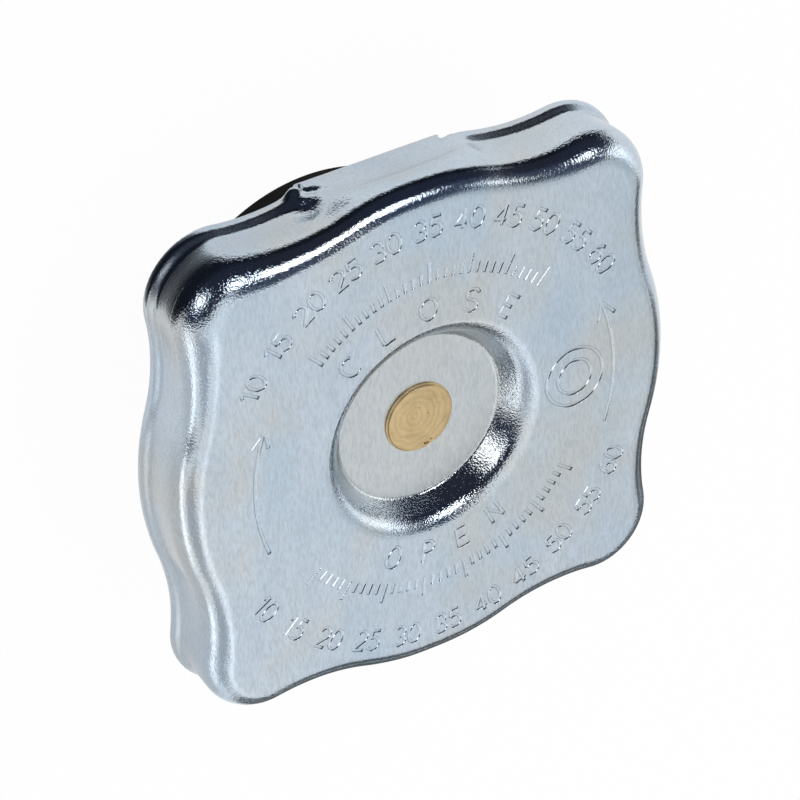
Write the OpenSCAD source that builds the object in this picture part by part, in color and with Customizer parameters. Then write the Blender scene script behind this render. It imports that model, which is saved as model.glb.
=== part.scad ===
// Bayonet radiator cap: a drawn steel cover with four corner grips and two
// locking tabs, and a pressure and vacuum valve that hangs from its centre rivet.
// The origin is the centre of the plane where the gasket meets the neck's rim.

/* [Cover outline] */
// Radius of the round skirt between the corner grips
main_r = 33; // [31.5:0.5:37]
// Distance from the axis to the tip of a corner grip
grip_reach = 40; // [38.5:0.5:45]
// Radius of the tip of a corner grip
grip_r = 7.6; // [6:0.2:9]
// Radius of the hollow between a grip and the round skirt
hollow_r = 26; // [20:1:34]

/* [Cover section] */
// Thickness of the cover's sheet
sheet_t = 1.2; // [0.8:0.1:1.5]
// Height of the skirt, measured from the top face
skirt_h = 10; // [9:0.5:13]
// Outer radius where the top face turns into the skirt
edge_r = 3; // [2:0.25:4]
// How far the skirt's free edge flares outwards
flare = 0.4; // [0.1:0.1:0.8]
// Height of the flare
flare_h = 1.6; // [1:0.1:2]

/* [Dish] */
// Radius of the flat floor of the dish
dish_floor_r = 11; // [9.5:0.5:12]
// Depth of the dish below the top face
dish_depth = 3.5; // [3:0.1:4]
// Radius of both bends of the dish wall, at the middle of the sheet
dish_bend_r = 1.5; // [1.3:0.1:1.8]
// Slope of the dish wall
dish_slope = 55; // [50:1:65]

/* [Locking tabs] */
// Width of a tab
tab_w = 18.4; // [14:0.2:19]
// How far a tab reaches inwards from the skirt
tab_reach = 5.6; // [4.5:0.1:6.5]
// Outer radius of the bend between skirt and tab
tab_bend_r = 2; // [1.8:0.1:2.4]
// Sideways shift of each tab from the middle of its side
tab_shift = 1.1; // [0:0.1:1.5]
// How far the skirt is flattened where a tab is bent
tab_flat = 1.3; // [0.6:0.1:1.5]
// Radius of a tab's corners
tab_corner_r = 1.5; // [0.5:0.1:2]
// Radius of the relief notch at either end of a tab's bend
relief_r = 0.55; // [0.4:0.05:0.7]

/* [Rivet] */
// Radius of the shank
rivet_r = 3; // [2.5:0.1:3.5]
// Radius of the outer head
rivet_head_r = 4.5; // [4:0.1:6]
// Height of the outer head
rivet_head_h = 0.5; // [0.4:0.1:1]
// Height of the inner, formed head
rivet_tail_h = 1.2; // [0.8:0.1:1.6]
// Radius of the inner, formed head
rivet_tail_r = 4.4; // [4:0.1:5]
// Outer radius of the washer under the formed head
washer_r = 6.5; // [5.5:0.1:7]
// Thickness of that washer
washer_t = 0.8; // [0.5:0.1:1.2]

/* [Neck seal] */
// Gap between the spring disc's rim and the inside of the skirt
disc_gap = 1.6; // [1.4:0.1:3]
// Thickness of the spring disc
disc_t = 0.3; // [0.25:0.05:0.5]
// How far the spring disc's rim lies below its centre
disc_drop = 0.3; // [0.2:0.1:0.6]
// Inner radius of the spring disc's flat rim
disc_rim_r = 24; // [21:0.5:25]
// Thickness of the neck gasket
gasket_t = 1.2; // [1:0.1:1.5]
// Depth of the neck, from its rim to its valve seat
neck_depth = 19; // [17:0.5:23]

/* [Spring cage] */
// Outer radius of the cage's barrel
cage_r = 15.5; // [15.2:0.1:16.5]
// Thickness of the cage's sheet
cage_t = 0.8; // [0.6:0.05:0.9]
// Outer radius of the cage's shoulder
cage_shoulder_r = 2; // [1.2:0.1:2.5]
// Number of legs
cage_legs = 4; // [3:1:5]
// Width of the slot between two legs
cage_slot_w = 11; // [8:0.5:12]
// Height of the solid band above the slots
cage_band_h = 4; // [3:0.5:5]

/* [Pressure valve] */
// How far the valve hangs below the neck's seat before it is fitted
overtravel = 1.5; // [1:0.1:2]
// Outer radius of the carrier's cup
cup_r = 11.4; // [11.2:0.1:11.8]
// Height of the carrier's cup
cup_h = 7.1; // [7:0.1:8]
// Thickness of the carrier's sheet
cup_t = 0.8; // [0.6:0.05:0.9]
// Outer radius of the plate that backs the seal
plate_r = 18.3; // [17:0.1:19]
// Thickness of that plate
plate_t = 0.8; // [0.6:0.1:1.2]
// Outer radius of the seal
seal_r = 20.9; // [20:0.1:22]
// Thickness of the seal below its plate
seal_t = 1.7; // [1.4:0.1:2.2]
// Height of the seal's lip above its plate
seal_lip_h = 0.8; // [0.5:0.1:1]
// Radius of the hole through the seal
seal_hole_r = 7; // [6.5:0.1:7.5]
// Width of the groove between the seal's two faces
groove_w = 0.8; // [0.6:0.1:1.2]
// Depth of that groove
groove_d = 0.5; // [0.3:0.1:0.8]

/* [Vacuum valve] */
// Radius of the vacuum valve's disc
vacuum_r = 9; // [8.5:0.1:10]
// Thickness of that disc
vacuum_t = 1; // [0.8:0.1:1.4]
// Radius of its stem
stem_r = 1.5; // [1.2:0.1:1.7]
// Length of the stem above the carrier's floor
stem_h = 4.8; // [4.5:0.1:5.2]
// Radius of the spring keeper on the stem
keeper_r = 4.2; // [3.8:0.1:4.6]
// Thickness of the keeper
keeper_t = 0.5; // [0.4:0.05:0.7]
// Radius of each of the ports through carrier and plate
port_r = 1.1; // [0.8:0.1:1.2]
// Number of ports
port_count = 4; // [3:1:5]

/* [Springs] */
// Wire thickness of the pressure spring
spring_wire = 2.2; // [1.8:0.1:2.3]
// Number of turns of the pressure spring
spring_turns = 5; // [4:0.5:5]
// Wire thickness of the vacuum spring
small_wire = 0.5; // [0.3:0.05:0.6]
// Number of turns of the vacuum spring
small_turns = 4.5; // [3:0.5:4.5]

/* [Hidden] */
$fn = 96;

// Clearances: turning fit on the rivet, sliding fit of the stem, a spring's
// ends, a ring round a barrel, the carrier's flange in the cage, and the
// groove round the vacuum valve's disc.
turn_gap = 0.05;
slide_gap = 0.05;
spring_gap = 0.1;
ring_gap = 0.1;
guide_gap = 0.5;
groove_gap = 0.5;

// The disc and its gasket share one rim.
disc_r = main_r - sheet_t - disc_gap;

// Heights, from the neck's rim upwards.
disc_centre_z = gasket_t + disc_drop + disc_t;
dish_top_z = disc_centre_z + sheet_t;
face_z = dish_top_z + dish_depth;
skirt_z = face_z - skirt_h;
crown_z = disc_centre_z - disc_t;
washer_z = crown_z - cage_t;

// Heights, from the neck's rim downwards, with the valve hanging free.
seal_z = -neck_depth - overtravel;
plate_z = seal_z + seal_t;
cup_z = plate_z + plate_t;
flange_z = cup_z + cup_h;
lug_z = flange_z - cup_t;
cage_bottom_z = lug_z - cage_t;
vacuum_z = seal_z - vacuum_t;
floor_z = cup_z + cup_t;
keeper_z = floor_z + stem_h - keeper_t;

// Corner grips: the arcs of tip, hollow and skirt meet in tangent. Distances are
// along and across the diagonal of the grip, and angles turn from that diagonal.
grip_dist = grip_reach - grip_r;
hollow_u = ((main_r + hollow_r)^2 - (grip_r + hollow_r)^2 + grip_dist^2) / (2 * grip_dist);
hollow_v = sqrt((main_r + hollow_r)^2 - hollow_u^2);
grip_half = atan2(hollow_v, hollow_u - grip_dist);
main_from = atan2(hollow_v, hollow_u);

tab_chord = main_r - tab_flat;
tab_top_z = skirt_z - tab_bend_r + sheet_t;
cage_inner_r = cage_r - cage_t;
flange_r = cage_inner_r - guide_gap;
lug_r = cup_r + guide_gap;
spring_r = cup_r - cup_t - guide_gap - spring_wire / 2;
small_r = keeper_r - small_wire;
port_ring_r = (stem_r + seal_hole_r) / 2;

// The dish wall falls between its two bends, and the flat face starts outside its rim.
dish_fall = dish_depth - 2 * dish_bend_r * (1 - cos(dish_slope));
dish_run = dish_fall / tan(dish_slope) + 2 * dish_bend_r * sin(dish_slope);
plate_inner_r = dish_floor_r + dish_run + sheet_t;

ZINC = [0.80, 0.83, 0.85];
STEEL = [0.70, 0.71, 0.72];
BRASS = [0.83, 0.66, 0.33];
RUBBER = [0.06, 0.06, 0.06];

function lerp(a, b, k) = a + (b - a) * k;
function ease(k) = let(c = min(max(k, 0), 1)) c * c * (3 - 2 * c);
function polar(c, r, a) = c + r * [cos(a), sin(a)];
function turned(p, a) = [p.x * cos(a) - p.y * sin(a), p.x * sin(a) + p.y * cos(a)];

// Points along an arc, both ends included.
function arc(c, r, from, to, steps) =
    [for (i = [0 : steps]) polar(c, r, lerp(from, to, i / steps))];

// Points along an arc without its last end, so that arcs chain into an outline.
function open_arc(c, r, from, to, steps) =
    [for (i = [0 : steps - 1]) polar(c, r, lerp(from, to, i / steps))];

// One grip with half a skirt side on either hand, grown outwards by off.
function grip_outline(off) = concat(
    open_arc([0, 0], main_r + off, -45, -main_from, 4),
    open_arc([hollow_u, -hollow_v], hollow_r - off, 180 - main_from, 180 - grip_half, 5),
    open_arc([grip_dist, 0], grip_r + off, -grip_half, grip_half, 8),
    open_arc([hollow_u, hollow_v], hollow_r - off, 180 + grip_half, 180 + main_from, 5),
    open_arc([0, 0], main_r + off, main_from, 45, 4));

function outline(off) = [for (q = [0 : 3], p = grip_outline(off)) turned(p, 45 + 90 * q)];

// 0 where a tab leaves the skirt, rising to 1 beside it.
function beside_tab(p) =
    abs(p.y) < grip_dist * sin(45) ? 1
    : ease((abs(p.x + sign(p.y) * tab_shift) - tab_w / 2) / (tab_w / 6));

// One level of the skirt: the outline at depth z, grown by off and flared by
// spread, with its two tab sides flattened by flat.
function skirt_ring(off, z, flat = 0, spread = 0) =
    [for (i = [0 : len(outline(0)) - 1])
        let(p = outline(off)[i],
            q = outline(off + spread)[i],
            w = spread == 0 ? p : lerp(p, q, beside_tab(p)),
            limit = main_r - tab_flat * flat + off)
        [w.x, beside_tab(p) < 1 ? min(max(w.y, -limit), limit) : w.y, z]];

// Levels of the rounded edge, from the flat face down to the straight skirt.
function edge_rings(inset, steps) =
    [for (i = [0 : steps])
        let(r = edge_r - inset, a = 90 - 90 * i / steps)
        skirt_ring(-edge_r + r * cos(a), face_z - edge_r + r * sin(a))];

function wall_rings(inset, steps) =
    [for (i = [1 : steps])
        skirt_ring(-inset, lerp(face_z - edge_r, skirt_z + flare_h, i / steps), ease(i / steps))];

// Levels of the free edge, which curves outwards like a trumpet's mouth.
function flare_rings(inset, steps) =
    [for (i = [1 : steps])
        skirt_ring(-inset, skirt_z + flare_h * (1 - i / steps), 1, flare * (i / steps)^2)];

function skirt_rings() =
    let(outer = concat(edge_rings(0, 4), wall_rings(0, 3), flare_rings(0, 2)),
        inner = concat(edge_rings(sheet_t, 3), wall_rings(sheet_t, 2), flare_rings(sheet_t, 2)))
    concat(outer, [for (i = [len(inner) - 1 : -1 : 0]) inner[i]]);

// Closed skin over rings of equal length, with a middle point at either end.
module skin(rings, first, last) {
    n = len(rings[0]);
    m = len(rings);
    polyhedron(
        points = concat([for (ring = rings) each ring], [first, last]),
        faces = concat(
            [for (i = [0 : n - 1]) [m * n, (i + 1) % n, i]],
            [for (j = [0 : m - 2], i = [0 : n - 1])
                [j * n + i, j * n + (i + 1) % n, (j + 1) * n + (i + 1) % n]],
            [for (j = [0 : m - 2], i = [0 : n - 1])
                [j * n + i, (j + 1) * n + (i + 1) % n, (j + 1) * n + i]],
            [for (i = [0 : n - 1]) [m * n + 1, (m - 1) * n + i, (m - 1) * n + (i + 1) % n]]));
}

module turned_ring(inner, outer, z, h) {
    translate([0, 0, z]) difference() {
        cylinder(r = outer, h = h);
        translate([0, 0, -h]) cylinder(r = inner, h = 3 * h);
    }
}

// Upper or lower surface of the dish, from its floor to the flat face. side is
// half the sheet, above or below its middle.
function dish_surface(side) =
    let(mid = dish_top_z - sheet_t / 2)
    concat(
        arc([dish_floor_r, mid + dish_bend_r], dish_bend_r - side, -90, -90 + dish_slope, 6),
        arc([dish_floor_r + dish_run, face_z - sheet_t / 2 - dish_bend_r],
            dish_bend_r + side, 90 + dish_slope, 90, 6));

module dish() {
    half = sheet_t / 2;
    top = dish_surface(half);
    under = dish_surface(-half);
    rotate_extrude() polygon(concat(
        [[rivet_r, dish_top_z]], top, [[plate_inner_r, face_z], [plate_inner_r, face_z - sheet_t]],
        [for (i = [len(under) - 1 : -1 : 0]) under[i]], [[rivet_r, dish_top_z - sheet_t]]));
}

// Section through a tab: y towards the skirt, z upwards.
module tab_section() {
    bend = [tab_chord - tab_bend_r, skirt_z];
    polygon(concat(
        [[tab_chord, skirt_z + flare_h / 2]],
        arc(bend, tab_bend_r, 0, -90, 6),
        [[tab_chord - tab_reach, skirt_z - tab_bend_r], [tab_chord - tab_reach, tab_top_z]],
        arc(bend, tab_bend_r - sheet_t, -90, 0, 6),
        [[tab_chord - sheet_t, skirt_z + flare_h / 2]]));
}

module tab_plan() {
    tip = tab_chord - tab_reach;
    for (side = [-1, 1])
        translate([side * (tab_w / 2 - tab_corner_r), tip + tab_corner_r]) circle(r = tab_corner_r);
    translate([-tab_w / 2 + tab_corner_r, tip]) square([tab_w - 2 * tab_corner_r, tab_reach]);
    translate([-tab_w / 2, tip + tab_corner_r]) square([tab_w, tab_reach - tab_corner_r]);
}

module tab() {
    translate([-tab_shift, 0, 0]) intersection() {
        translate([-tab_w / 2, 0, 0]) rotate([90, 0, 90]) linear_extrude(tab_w) tab_section();
        translate([0, 0, skirt_z - 2 * tab_bend_r]) linear_extrude(3 * tab_bend_r) tab_plan();
    }
}

// Round notches in the skirt's free edge, one at either end of a tab.
module tab_reliefs() {
    for (side = [-1, 1])
        translate([side * (tab_w / 2 + relief_r / 2) - tab_shift, tab_chord - 2 * sheet_t, skirt_z])
            rotate([-90, 0, 0]) cylinder(r = relief_r, h = 4 * sheet_t);
}

module cover() color(ZINC) difference() {
    union() {
        difference() {
            skin(skirt_rings(), [0, 0, face_z], [0, 0, face_z - sheet_t]);
            translate([0, 0, face_z - 2 * sheet_t]) cylinder(r = plate_inner_r, h = 3 * sheet_t);
        }
        dish();
        for (half_turn = [0, 180]) rotate(half_turn) tab();
    }
    for (half_turn = [0, 180]) rotate(half_turn) tab_reliefs();
}

module centre_rivet() color(BRASS) {
    rim = rivet_head_h / 3;
    tail_z = washer_z - washer_t;
    rotate_extrude() polygon(concat(
        [[0, tail_z - rivet_tail_h], [rivet_tail_r * 0.7, tail_z - rivet_tail_h]],
        [[rivet_tail_r, tail_z - rivet_tail_h / 2], [rivet_tail_r, tail_z]],
        [[rivet_r, tail_z], [rivet_r, dish_top_z], [rivet_head_r, dish_top_z]],
        arc([rivet_head_r - rim, dish_top_z + rivet_head_h - rim], rim, 0, 90, 4),
        [[0, dish_top_z + rivet_head_h]]));
}

module rivet_washer() color(STEEL)
    turned_ring(rivet_r, washer_r, washer_z - washer_t, washer_t);

// Height of the spring disc's underside at a radius.
function disc_under_z(r) = crown_z - disc_drop * min(max((r - cage_r) / (disc_rim_r - cage_r), 0), 1);

module spring_disc() color(STEEL) {
    under = [for (r = [rivet_r + turn_gap, cage_r, disc_rim_r, disc_r]) [r, disc_under_z(r)]];
    rotate_extrude() polygon(concat(under, [for (i = [3 : -1 : 0]) under[i] + [0, disc_t]]));
}

module neck_gasket() color(RUBBER) {
    inner = cage_r + ring_gap;
    top = [for (r = [inner, disc_rim_r, disc_r]) [r, disc_under_z(r)]];
    rotate_extrude() polygon(concat(
        top, [[disc_r, 0], [disc_rim_r, 0], [inner, disc_under_z(inner) - gasket_t]]));
}

// Legs end in lugs that turn inwards under the carrier's flange.
module spring_cage() color(STEEL) difference() {
    shoulder = [cage_r - cage_shoulder_r, crown_z - cage_shoulder_r];
    rotate_extrude() polygon(concat(
        [[rivet_r + turn_gap, crown_z]],
        arc(shoulder, cage_shoulder_r, 90, 0, 5),
        [[cage_r, cage_bottom_z], [lug_r, cage_bottom_z], [lug_r, lug_z], [cage_inner_r, lug_z]],
        arc(shoulder, cage_shoulder_r - cage_t, 0, 90, 5),
        [[rivet_r + turn_gap, washer_z]]));
    slot_z = crown_z - cage_band_h;
    for (i = [0 : cage_legs - 1]) rotate(360 * (i + 0.5) / cage_legs)
        translate([0, -cage_slot_w / 2, cage_bottom_z - cage_t])
            cube([cage_r + cage_t, cage_slot_w, slot_z - cage_bottom_z + cage_t]);
}

// Round wire wound in turns between two heights, with a closed turn at either end.
module coil(r, wire, turns, bottom, top, per_turn, sides) {
    steps = round(turns * per_turn);
    low = bottom + wire / 2;
    rise = top - bottom - wire;
    closed = (turns - 1) * wire / (turns * rise);
    function height(k) = low + rise * (ease(k) * (1 - closed) + k * closed);
    rings = [for (i = [0 : steps])
        let(a = 360 * turns * i / steps)
        [for (s = [0 : sides - 1])
            let(b = 360 * s / sides, out = r + wire / 2 * cos(b))
            [out * cos(a), out * sin(a), height(i / steps) + wire / 2 * sin(b)]]];
    end = 360 * turns;
    skin(rings, [r, 0, low], [r * cos(end), r * sin(end), height(1)]);
}

module pressure_spring() color(STEEL)
    coil(spring_r, spring_wire, spring_turns, floor_z + spring_gap, washer_z - spring_gap, 24, 8);

module vacuum_spring() color(STEEL)
    coil(small_r, small_wire, small_turns, floor_z + spring_gap, keeper_z - spring_gap, 16, 8);

module ports(z, h) {
    for (i = [0 : port_count - 1]) rotate(360 * i / port_count)
        translate([port_ring_r, 0, z - h]) cylinder(r = port_r, h = 3 * h);
}

module valve_carrier() color(STEEL) difference() {
    rotate_extrude() polygon([
        [stem_r + slide_gap, cup_z], [cup_r, cup_z], [cup_r, lug_z],
        [flange_r, lug_z], [flange_r, flange_z], [cup_r - cup_t, flange_z],
        [cup_r - cup_t, floor_z], [stem_r + slide_gap, floor_z]]);
    ports(cup_z, cup_t);
}

module seal_plate() color(ZINC) difference() {
    turned_ring(stem_r + slide_gap, plate_r, plate_z, plate_t);
    ports(plate_z, plate_t);
}

// The seal grips the plate's edge in a groove and carries the vacuum valve's seat.
module pressure_seal() color(RUBBER) {
    lip_r = plate_r - seal_lip_h * 2.5;
    round_r = seal_lip_h / 2;
    groove_r = vacuum_r + groove_gap;
    rotate_extrude() polygon(concat(
        [[seal_hole_r, seal_z], [groove_r, seal_z], [groove_r, seal_z + groove_d]],
        [[groove_r + groove_w, seal_z + groove_d], [groove_r + groove_w, seal_z]],
        arc([seal_r - round_r, seal_z + round_r], round_r, -90, 0, 4),
        arc([seal_r - round_r, cup_z + seal_lip_h - round_r], round_r, 0, 90, 4),
        [[lip_r, cup_z + seal_lip_h], [lip_r, cup_z], [plate_r, cup_z]],
        [[plate_r, plate_z], [seal_hole_r, plate_z]]));
}

module vacuum_valve() color(BRASS) {
    rim = vacuum_t / 3;
    head_r = stem_r * 1.4;
    top = keeper_z + keeper_t;
    rotate_extrude() polygon(concat(
        [[0, vacuum_z]],
        arc([vacuum_r - rim, vacuum_z + rim], rim, -90, 0, 4),
        [[vacuum_r, seal_z], [stem_r, seal_z], [stem_r, top], [head_r, top]],
        [[head_r, top + keeper_t], [stem_r, top + 2 * keeper_t], [0, top + 2 * keeper_t]]));
}

module spring_keeper() color(STEEL)
    turned_ring(stem_r, keeper_r, keeper_z, keeper_t);

cover();
centre_rivet();
rivet_washer();
spring_disc();
neck_gasket();
spring_cage();
pressure_spring();
valve_carrier();
seal_plate();
pressure_seal();
vacuum_valve();
vacuum_spring();
spring_keeper();
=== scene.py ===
"""Looks of a bayonet radiator cap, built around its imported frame.

Every piece is a mesh in metres in the frame's own axes: +Z comes out of the cover's face and Y runs
through its two locking tabs. The corners of turned sections are given in millimetres.
"""

import math
from types import SimpleNamespace

import bmesh
import bpy
import numpy as np
from bpy.props import FloatProperty, FloatVectorProperty, IntProperty, PointerProperty
from bpy.types import Operator, Panel, PropertyGroup
from mathutils import Matrix, Vector, noise


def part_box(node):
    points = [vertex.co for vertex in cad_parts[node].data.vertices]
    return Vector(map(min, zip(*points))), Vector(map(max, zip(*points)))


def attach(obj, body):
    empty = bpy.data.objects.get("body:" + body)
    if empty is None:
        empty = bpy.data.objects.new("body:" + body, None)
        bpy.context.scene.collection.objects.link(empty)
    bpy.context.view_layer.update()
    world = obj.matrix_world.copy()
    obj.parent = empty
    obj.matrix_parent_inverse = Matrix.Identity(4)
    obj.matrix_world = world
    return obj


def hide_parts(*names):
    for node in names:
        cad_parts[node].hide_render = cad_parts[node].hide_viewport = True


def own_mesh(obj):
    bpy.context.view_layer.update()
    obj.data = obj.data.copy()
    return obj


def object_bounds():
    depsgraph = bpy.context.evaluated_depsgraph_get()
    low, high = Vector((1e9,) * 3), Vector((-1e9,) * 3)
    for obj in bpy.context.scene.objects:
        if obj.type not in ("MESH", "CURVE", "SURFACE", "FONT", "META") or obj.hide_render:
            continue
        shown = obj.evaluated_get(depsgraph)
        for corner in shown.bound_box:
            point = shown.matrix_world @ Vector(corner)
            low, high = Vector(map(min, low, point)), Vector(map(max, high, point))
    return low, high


bl_info = {
    "name": "Radiator Cap",
    "version": (1, 0, 0),
    "blender": (4, 5, 0),
    "location": "View3D > Sidebar > Radiator Cap",
    "description": "Builds the dressed pieces of a bayonet radiator cap and a plain studio around it",
    "category": "Object",
}

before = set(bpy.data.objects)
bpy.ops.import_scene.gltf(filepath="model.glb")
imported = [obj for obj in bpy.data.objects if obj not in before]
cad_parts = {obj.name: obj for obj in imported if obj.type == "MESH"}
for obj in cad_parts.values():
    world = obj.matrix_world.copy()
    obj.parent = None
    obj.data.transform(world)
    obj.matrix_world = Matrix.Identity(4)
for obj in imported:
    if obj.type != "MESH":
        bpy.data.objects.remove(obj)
CAD_BOX = [list(corner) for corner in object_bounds()]
FLOOR_Z = CAD_BOX[0][2]

MM = 0.001
COVER_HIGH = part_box("cover")[1]

# Body and finish slot of each node
PIECES = {
    "cover": ("cover", "zinc_cover"),
    "centre_rivet": ("cover", "rivet_brass"),
    "rivet_washer": ("cover", "plain_steel"),
    "spring_disc": ("cage", "spring_steel"),
    "neck_gasket": ("cage", "gasket_rubber"),
    "spring_cage": ("cage", "plated_steel"),
    "pressure_spring": ("cage", "spring_steel"),
    "valve_carrier": ("pressure_valve", "plated_steel"),
    "seal_plate": ("pressure_valve", "plated_steel"),
    "pressure_seal": ("pressure_valve", "seal_rubber"),
    "vacuum_spring": ("pressure_valve", "spring_steel"),
    "vacuum_valve": ("vacuum_valve", "valve_brass"),
    "spring_keeper": ("vacuum_valve", "plain_steel"),
}


# Settings that a user would change

def millimetres(name, value, description):
    """A length property whose default is given in millimetres."""
    return FloatProperty(name=name, description=description, default=value * MM, min=0.0, precision=5,
                         unit="LENGTH")


def share(name, value, description):
    return FloatProperty(name=name, description=description, default=value, min=0.0, max=1.0,
                         subtype="FACTOR")


def degrees(name, value, description):
    return FloatProperty(name=name, description=description, default=math.radians(value),
                         subtype="ANGLE", unit="ROTATION")


def colour(name, value, description):
    return FloatVectorProperty(name=name, description=description, default=value, size=3, min=0.0,
                               max=1.0, subtype="COLOR")


def spot(name, value, description):
    return FloatVectorProperty(name=name, description=description, default=value,
                               subtype="TRANSLATION", unit="LENGTH")


class CoverSizes(PropertyGroup):
    face_z: millimetres("Face height", COVER_HIGH.z / MM, "Height of the flat face above the neck's rim")
    skirt_r: millimetres("Skirt radius", COVER_HIGH.y / MM, "Radius of the round skirt between the grips")
    grip_reach: millimetres("Grip reach", 40.2, "Distance from the axis to the tip of a corner grip")
    grip_r: millimetres("Grip radius", 7.6, "Radius of the tip of a corner grip")
    hollow_r: millimetres("Hollow radius", 26, "Radius of the hollow between a grip and the round skirt")
    sheet: millimetres("Sheet", 1.2, "Thickness of the sheet")
    skirt_h: millimetres("Skirt height", 10, "Height of the skirt, measured from the face")
    edge_r: millimetres("Edge radius", 3, "Outer radius where the face turns into the skirt")
    grip_edge_r: millimetres("Grip edge radius", 4.3, "That radius at the front left grip")
    flare: millimetres("Flare", 0.4, "How far the free edge flares outwards")
    flare_h: millimetres("Flare height", 2.4, "Height of the flare")
    waist: millimetres("Waist", 0.2, "How far the skirt is drawn in above the flare")
    rim_round: millimetres("Rim round", 0.35, "How far the sheared free edge is rounded")
    bore_r: millimetres("Bore radius", 3, "Radius of the rivet's hole")
    dish_floor_r: millimetres("Dish floor radius", 10.6, "Radius of the flat floor of the dish")
    dish_depth: millimetres("Dish depth", 3.5, "Depth of the dish below the face")
    dish_low_r: millimetres("Lower dish bend", 1.2, "Radius of the bend round the dish's floor, mid sheet")
    dish_high_r: millimetres("Upper dish bend", 2.4, "Radius of the bend round the dish's rim, mid sheet")
    dish_slope: degrees("Dish slope", 58, "Slope of the dish wall")
    tab_w: millimetres("Tab width", 18.4, "Width of a locking tab")
    tab_reach: millimetres("Tab reach", 5.6, "How far a tab reaches inwards from the skirt")
    tab_bend_r: millimetres("Tab bend radius", 2, "Outer radius of the bend between skirt and tab")
    tab_shift: millimetres("Tab shift", 1.1, "Sideways shift of each tab from the middle of its side")
    tab_flat: millimetres("Tab flat", 1.3, "How far the skirt is flattened where a tab is bent")
    tab_corner_r: millimetres("Tab corner radius", 1.5, "Radius of a tab's corners")
    relief_r: millimetres("Relief radius", 0.55, "Radius of the notch at either end of a tab's bend")
    wobble: millimetres("Wobble", 0.05, "How far the drawn sheet wanders from its ideal form")
    dent: millimetres("Dent", 0.6, "Depth of the dent beside the front tab")


class MarkSizes(PropertyGroup):
    stroke_w: millimetres("Stroke width", 0.29, "Half the width of a stamped stroke between its lips")
    stroke_d: millimetres("Stroke depth", 0.18, "Depth of a stamped stroke")
    height: millimetres("Mark height", 2.6, "Height of the stamped figures")
    upper_outer_r: millimetres("Upper outer row", 26.3, "Base radius of the outer row above the dish")
    upper_middle_r: millimetres("Upper middle row", 20.4, "Base radius of the middle row above the dish")
    upper_inner_r: millimetres("Upper inner row", 15.5, "Base radius of the inner row above the dish")
    lower_outer_r: millimetres("Lower outer row", 29.4, "Base radius of the outer row below the dish")
    lower_middle_r: millimetres("Lower middle row", 23.2, "Base radius of the middle row below the dish")
    lower_inner_r: millimetres("Lower inner row", 18.2, "Base radius of the inner row below the dish")


class SpringSizes(PropertyGroup):
    main_wire: millimetres("Main wire", 2.2, "Wire thickness of the pressure spring")
    main_turns: FloatProperty(name="Main turns", description="Turns of the pressure spring", default=5)
    small_wire: millimetres("Small wire", 0.5, "Wire thickness of the vacuum spring")
    small_turns: FloatProperty(name="Small turns", description="Turns of the vacuum spring", default=4.5)
    points_a_turn: IntProperty(name="Points a turn", description="Steps round one turn", default=64)


class FinishSettings(PropertyGroup):
    zinc: colour("Zinc", (0.625, 0.705, 0.785), "Bright zinc plating of the cover")
    zinc_warm: colour("Warm zinc", (0.62, 0.63, 0.61), "Yellowish patches of the plating")
    zinc_blue: colour("Blue zinc", (0.54, 0.645, 0.75), "Bluish patches of the plating")
    zinc_dish: colour("Dish zinc", (0.63, 0.65, 0.645), "Plating of the dish, greyer than the face")
    satin: share("Satin", 0.36, "Roughness of the flat face")
    mirror: share("Mirror", 0.09, "Roughness of the drawn edges")
    plated: colour("Plated steel", (0.62, 0.64, 0.65), "Plated inner pressings")
    steel: colour("Steel", (0.50, 0.51, 0.53), "Springs, washers and spring disc")
    brass: colour("Rivet brass", (0.69, 0.52, 0.285), "Brass of the rivet")
    valve_brass: colour("Valve brass", (0.74, 0.55, 0.24), "Brass of the vacuum valve")
    rubber: colour("Rubber", (0.003, 0.003, 0.0035), "Black rubber of gasket and seal")


class StageSettings(PropertyGroup):
    camera_at: spot("Camera place", (-0.197309, 0.273164, 0.332859), "Where the camera stands")
    aim: spot("Aim", (-0.004329, 0.005974, 0.006329), "Point in the middle of the picture")
    roll: degrees("Roll", 132.03, "Turn of the camera about its view axis")
    lens: FloatProperty(name="Lens", description="Focal length for a 36 mm sensor, in millimetres",
                        default=184.0)
    sky: FloatProperty(name="Sky", description="Strength of the world's even light", default=0.7)
    white: share("White", 0.97, "How much of the floor is plain white to the camera, apart from its shadow")
    mirrored: share("Mirrored white", 0.5, "How much of the floor is plain white in metal that mirrors it")


# Node trees

def add(tree, kind, inputs=(), **settings):
    """A node with its settings made and its inputs set or linked."""
    node = tree.nodes.new(kind)
    for key, value in settings.items():
        setattr(node, key, value)
    for key, value in dict(inputs).items():
        if isinstance(value, bpy.types.NodeSocket):
            tree.links.new(value, node.inputs[key])
        else:
            node.inputs[key].default_value = value
    return node


def maths(tree, operation, *values):
    return add(tree, "ShaderNodeMath", enumerate(values), operation=operation).outputs[0]


def mix_values(tree, amount, first, second):
    inputs = {0: amount, 2: first, 3: second}
    return add(tree, "ShaderNodeMix", inputs, data_type="FLOAT").outputs[0]


def new_geometry_tree(name, **sizes):
    """An empty geometry tree with one float input for each size, and those inputs by name."""
    tree = bpy.data.node_groups.new(name, "GeometryNodeTree")
    tree.interface.new_socket("Geometry", in_out="OUTPUT", socket_type="NodeSocketGeometry")
    tree.interface.new_socket("Geometry", in_out="INPUT", socket_type="NodeSocketGeometry")
    for size, default in sizes.items():
        socket = tree.interface.new_socket(size, in_out="INPUT", socket_type="NodeSocketFloat")
        socket.default_value = default
    return tree, add(tree, "NodeGroupInput").outputs


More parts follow.
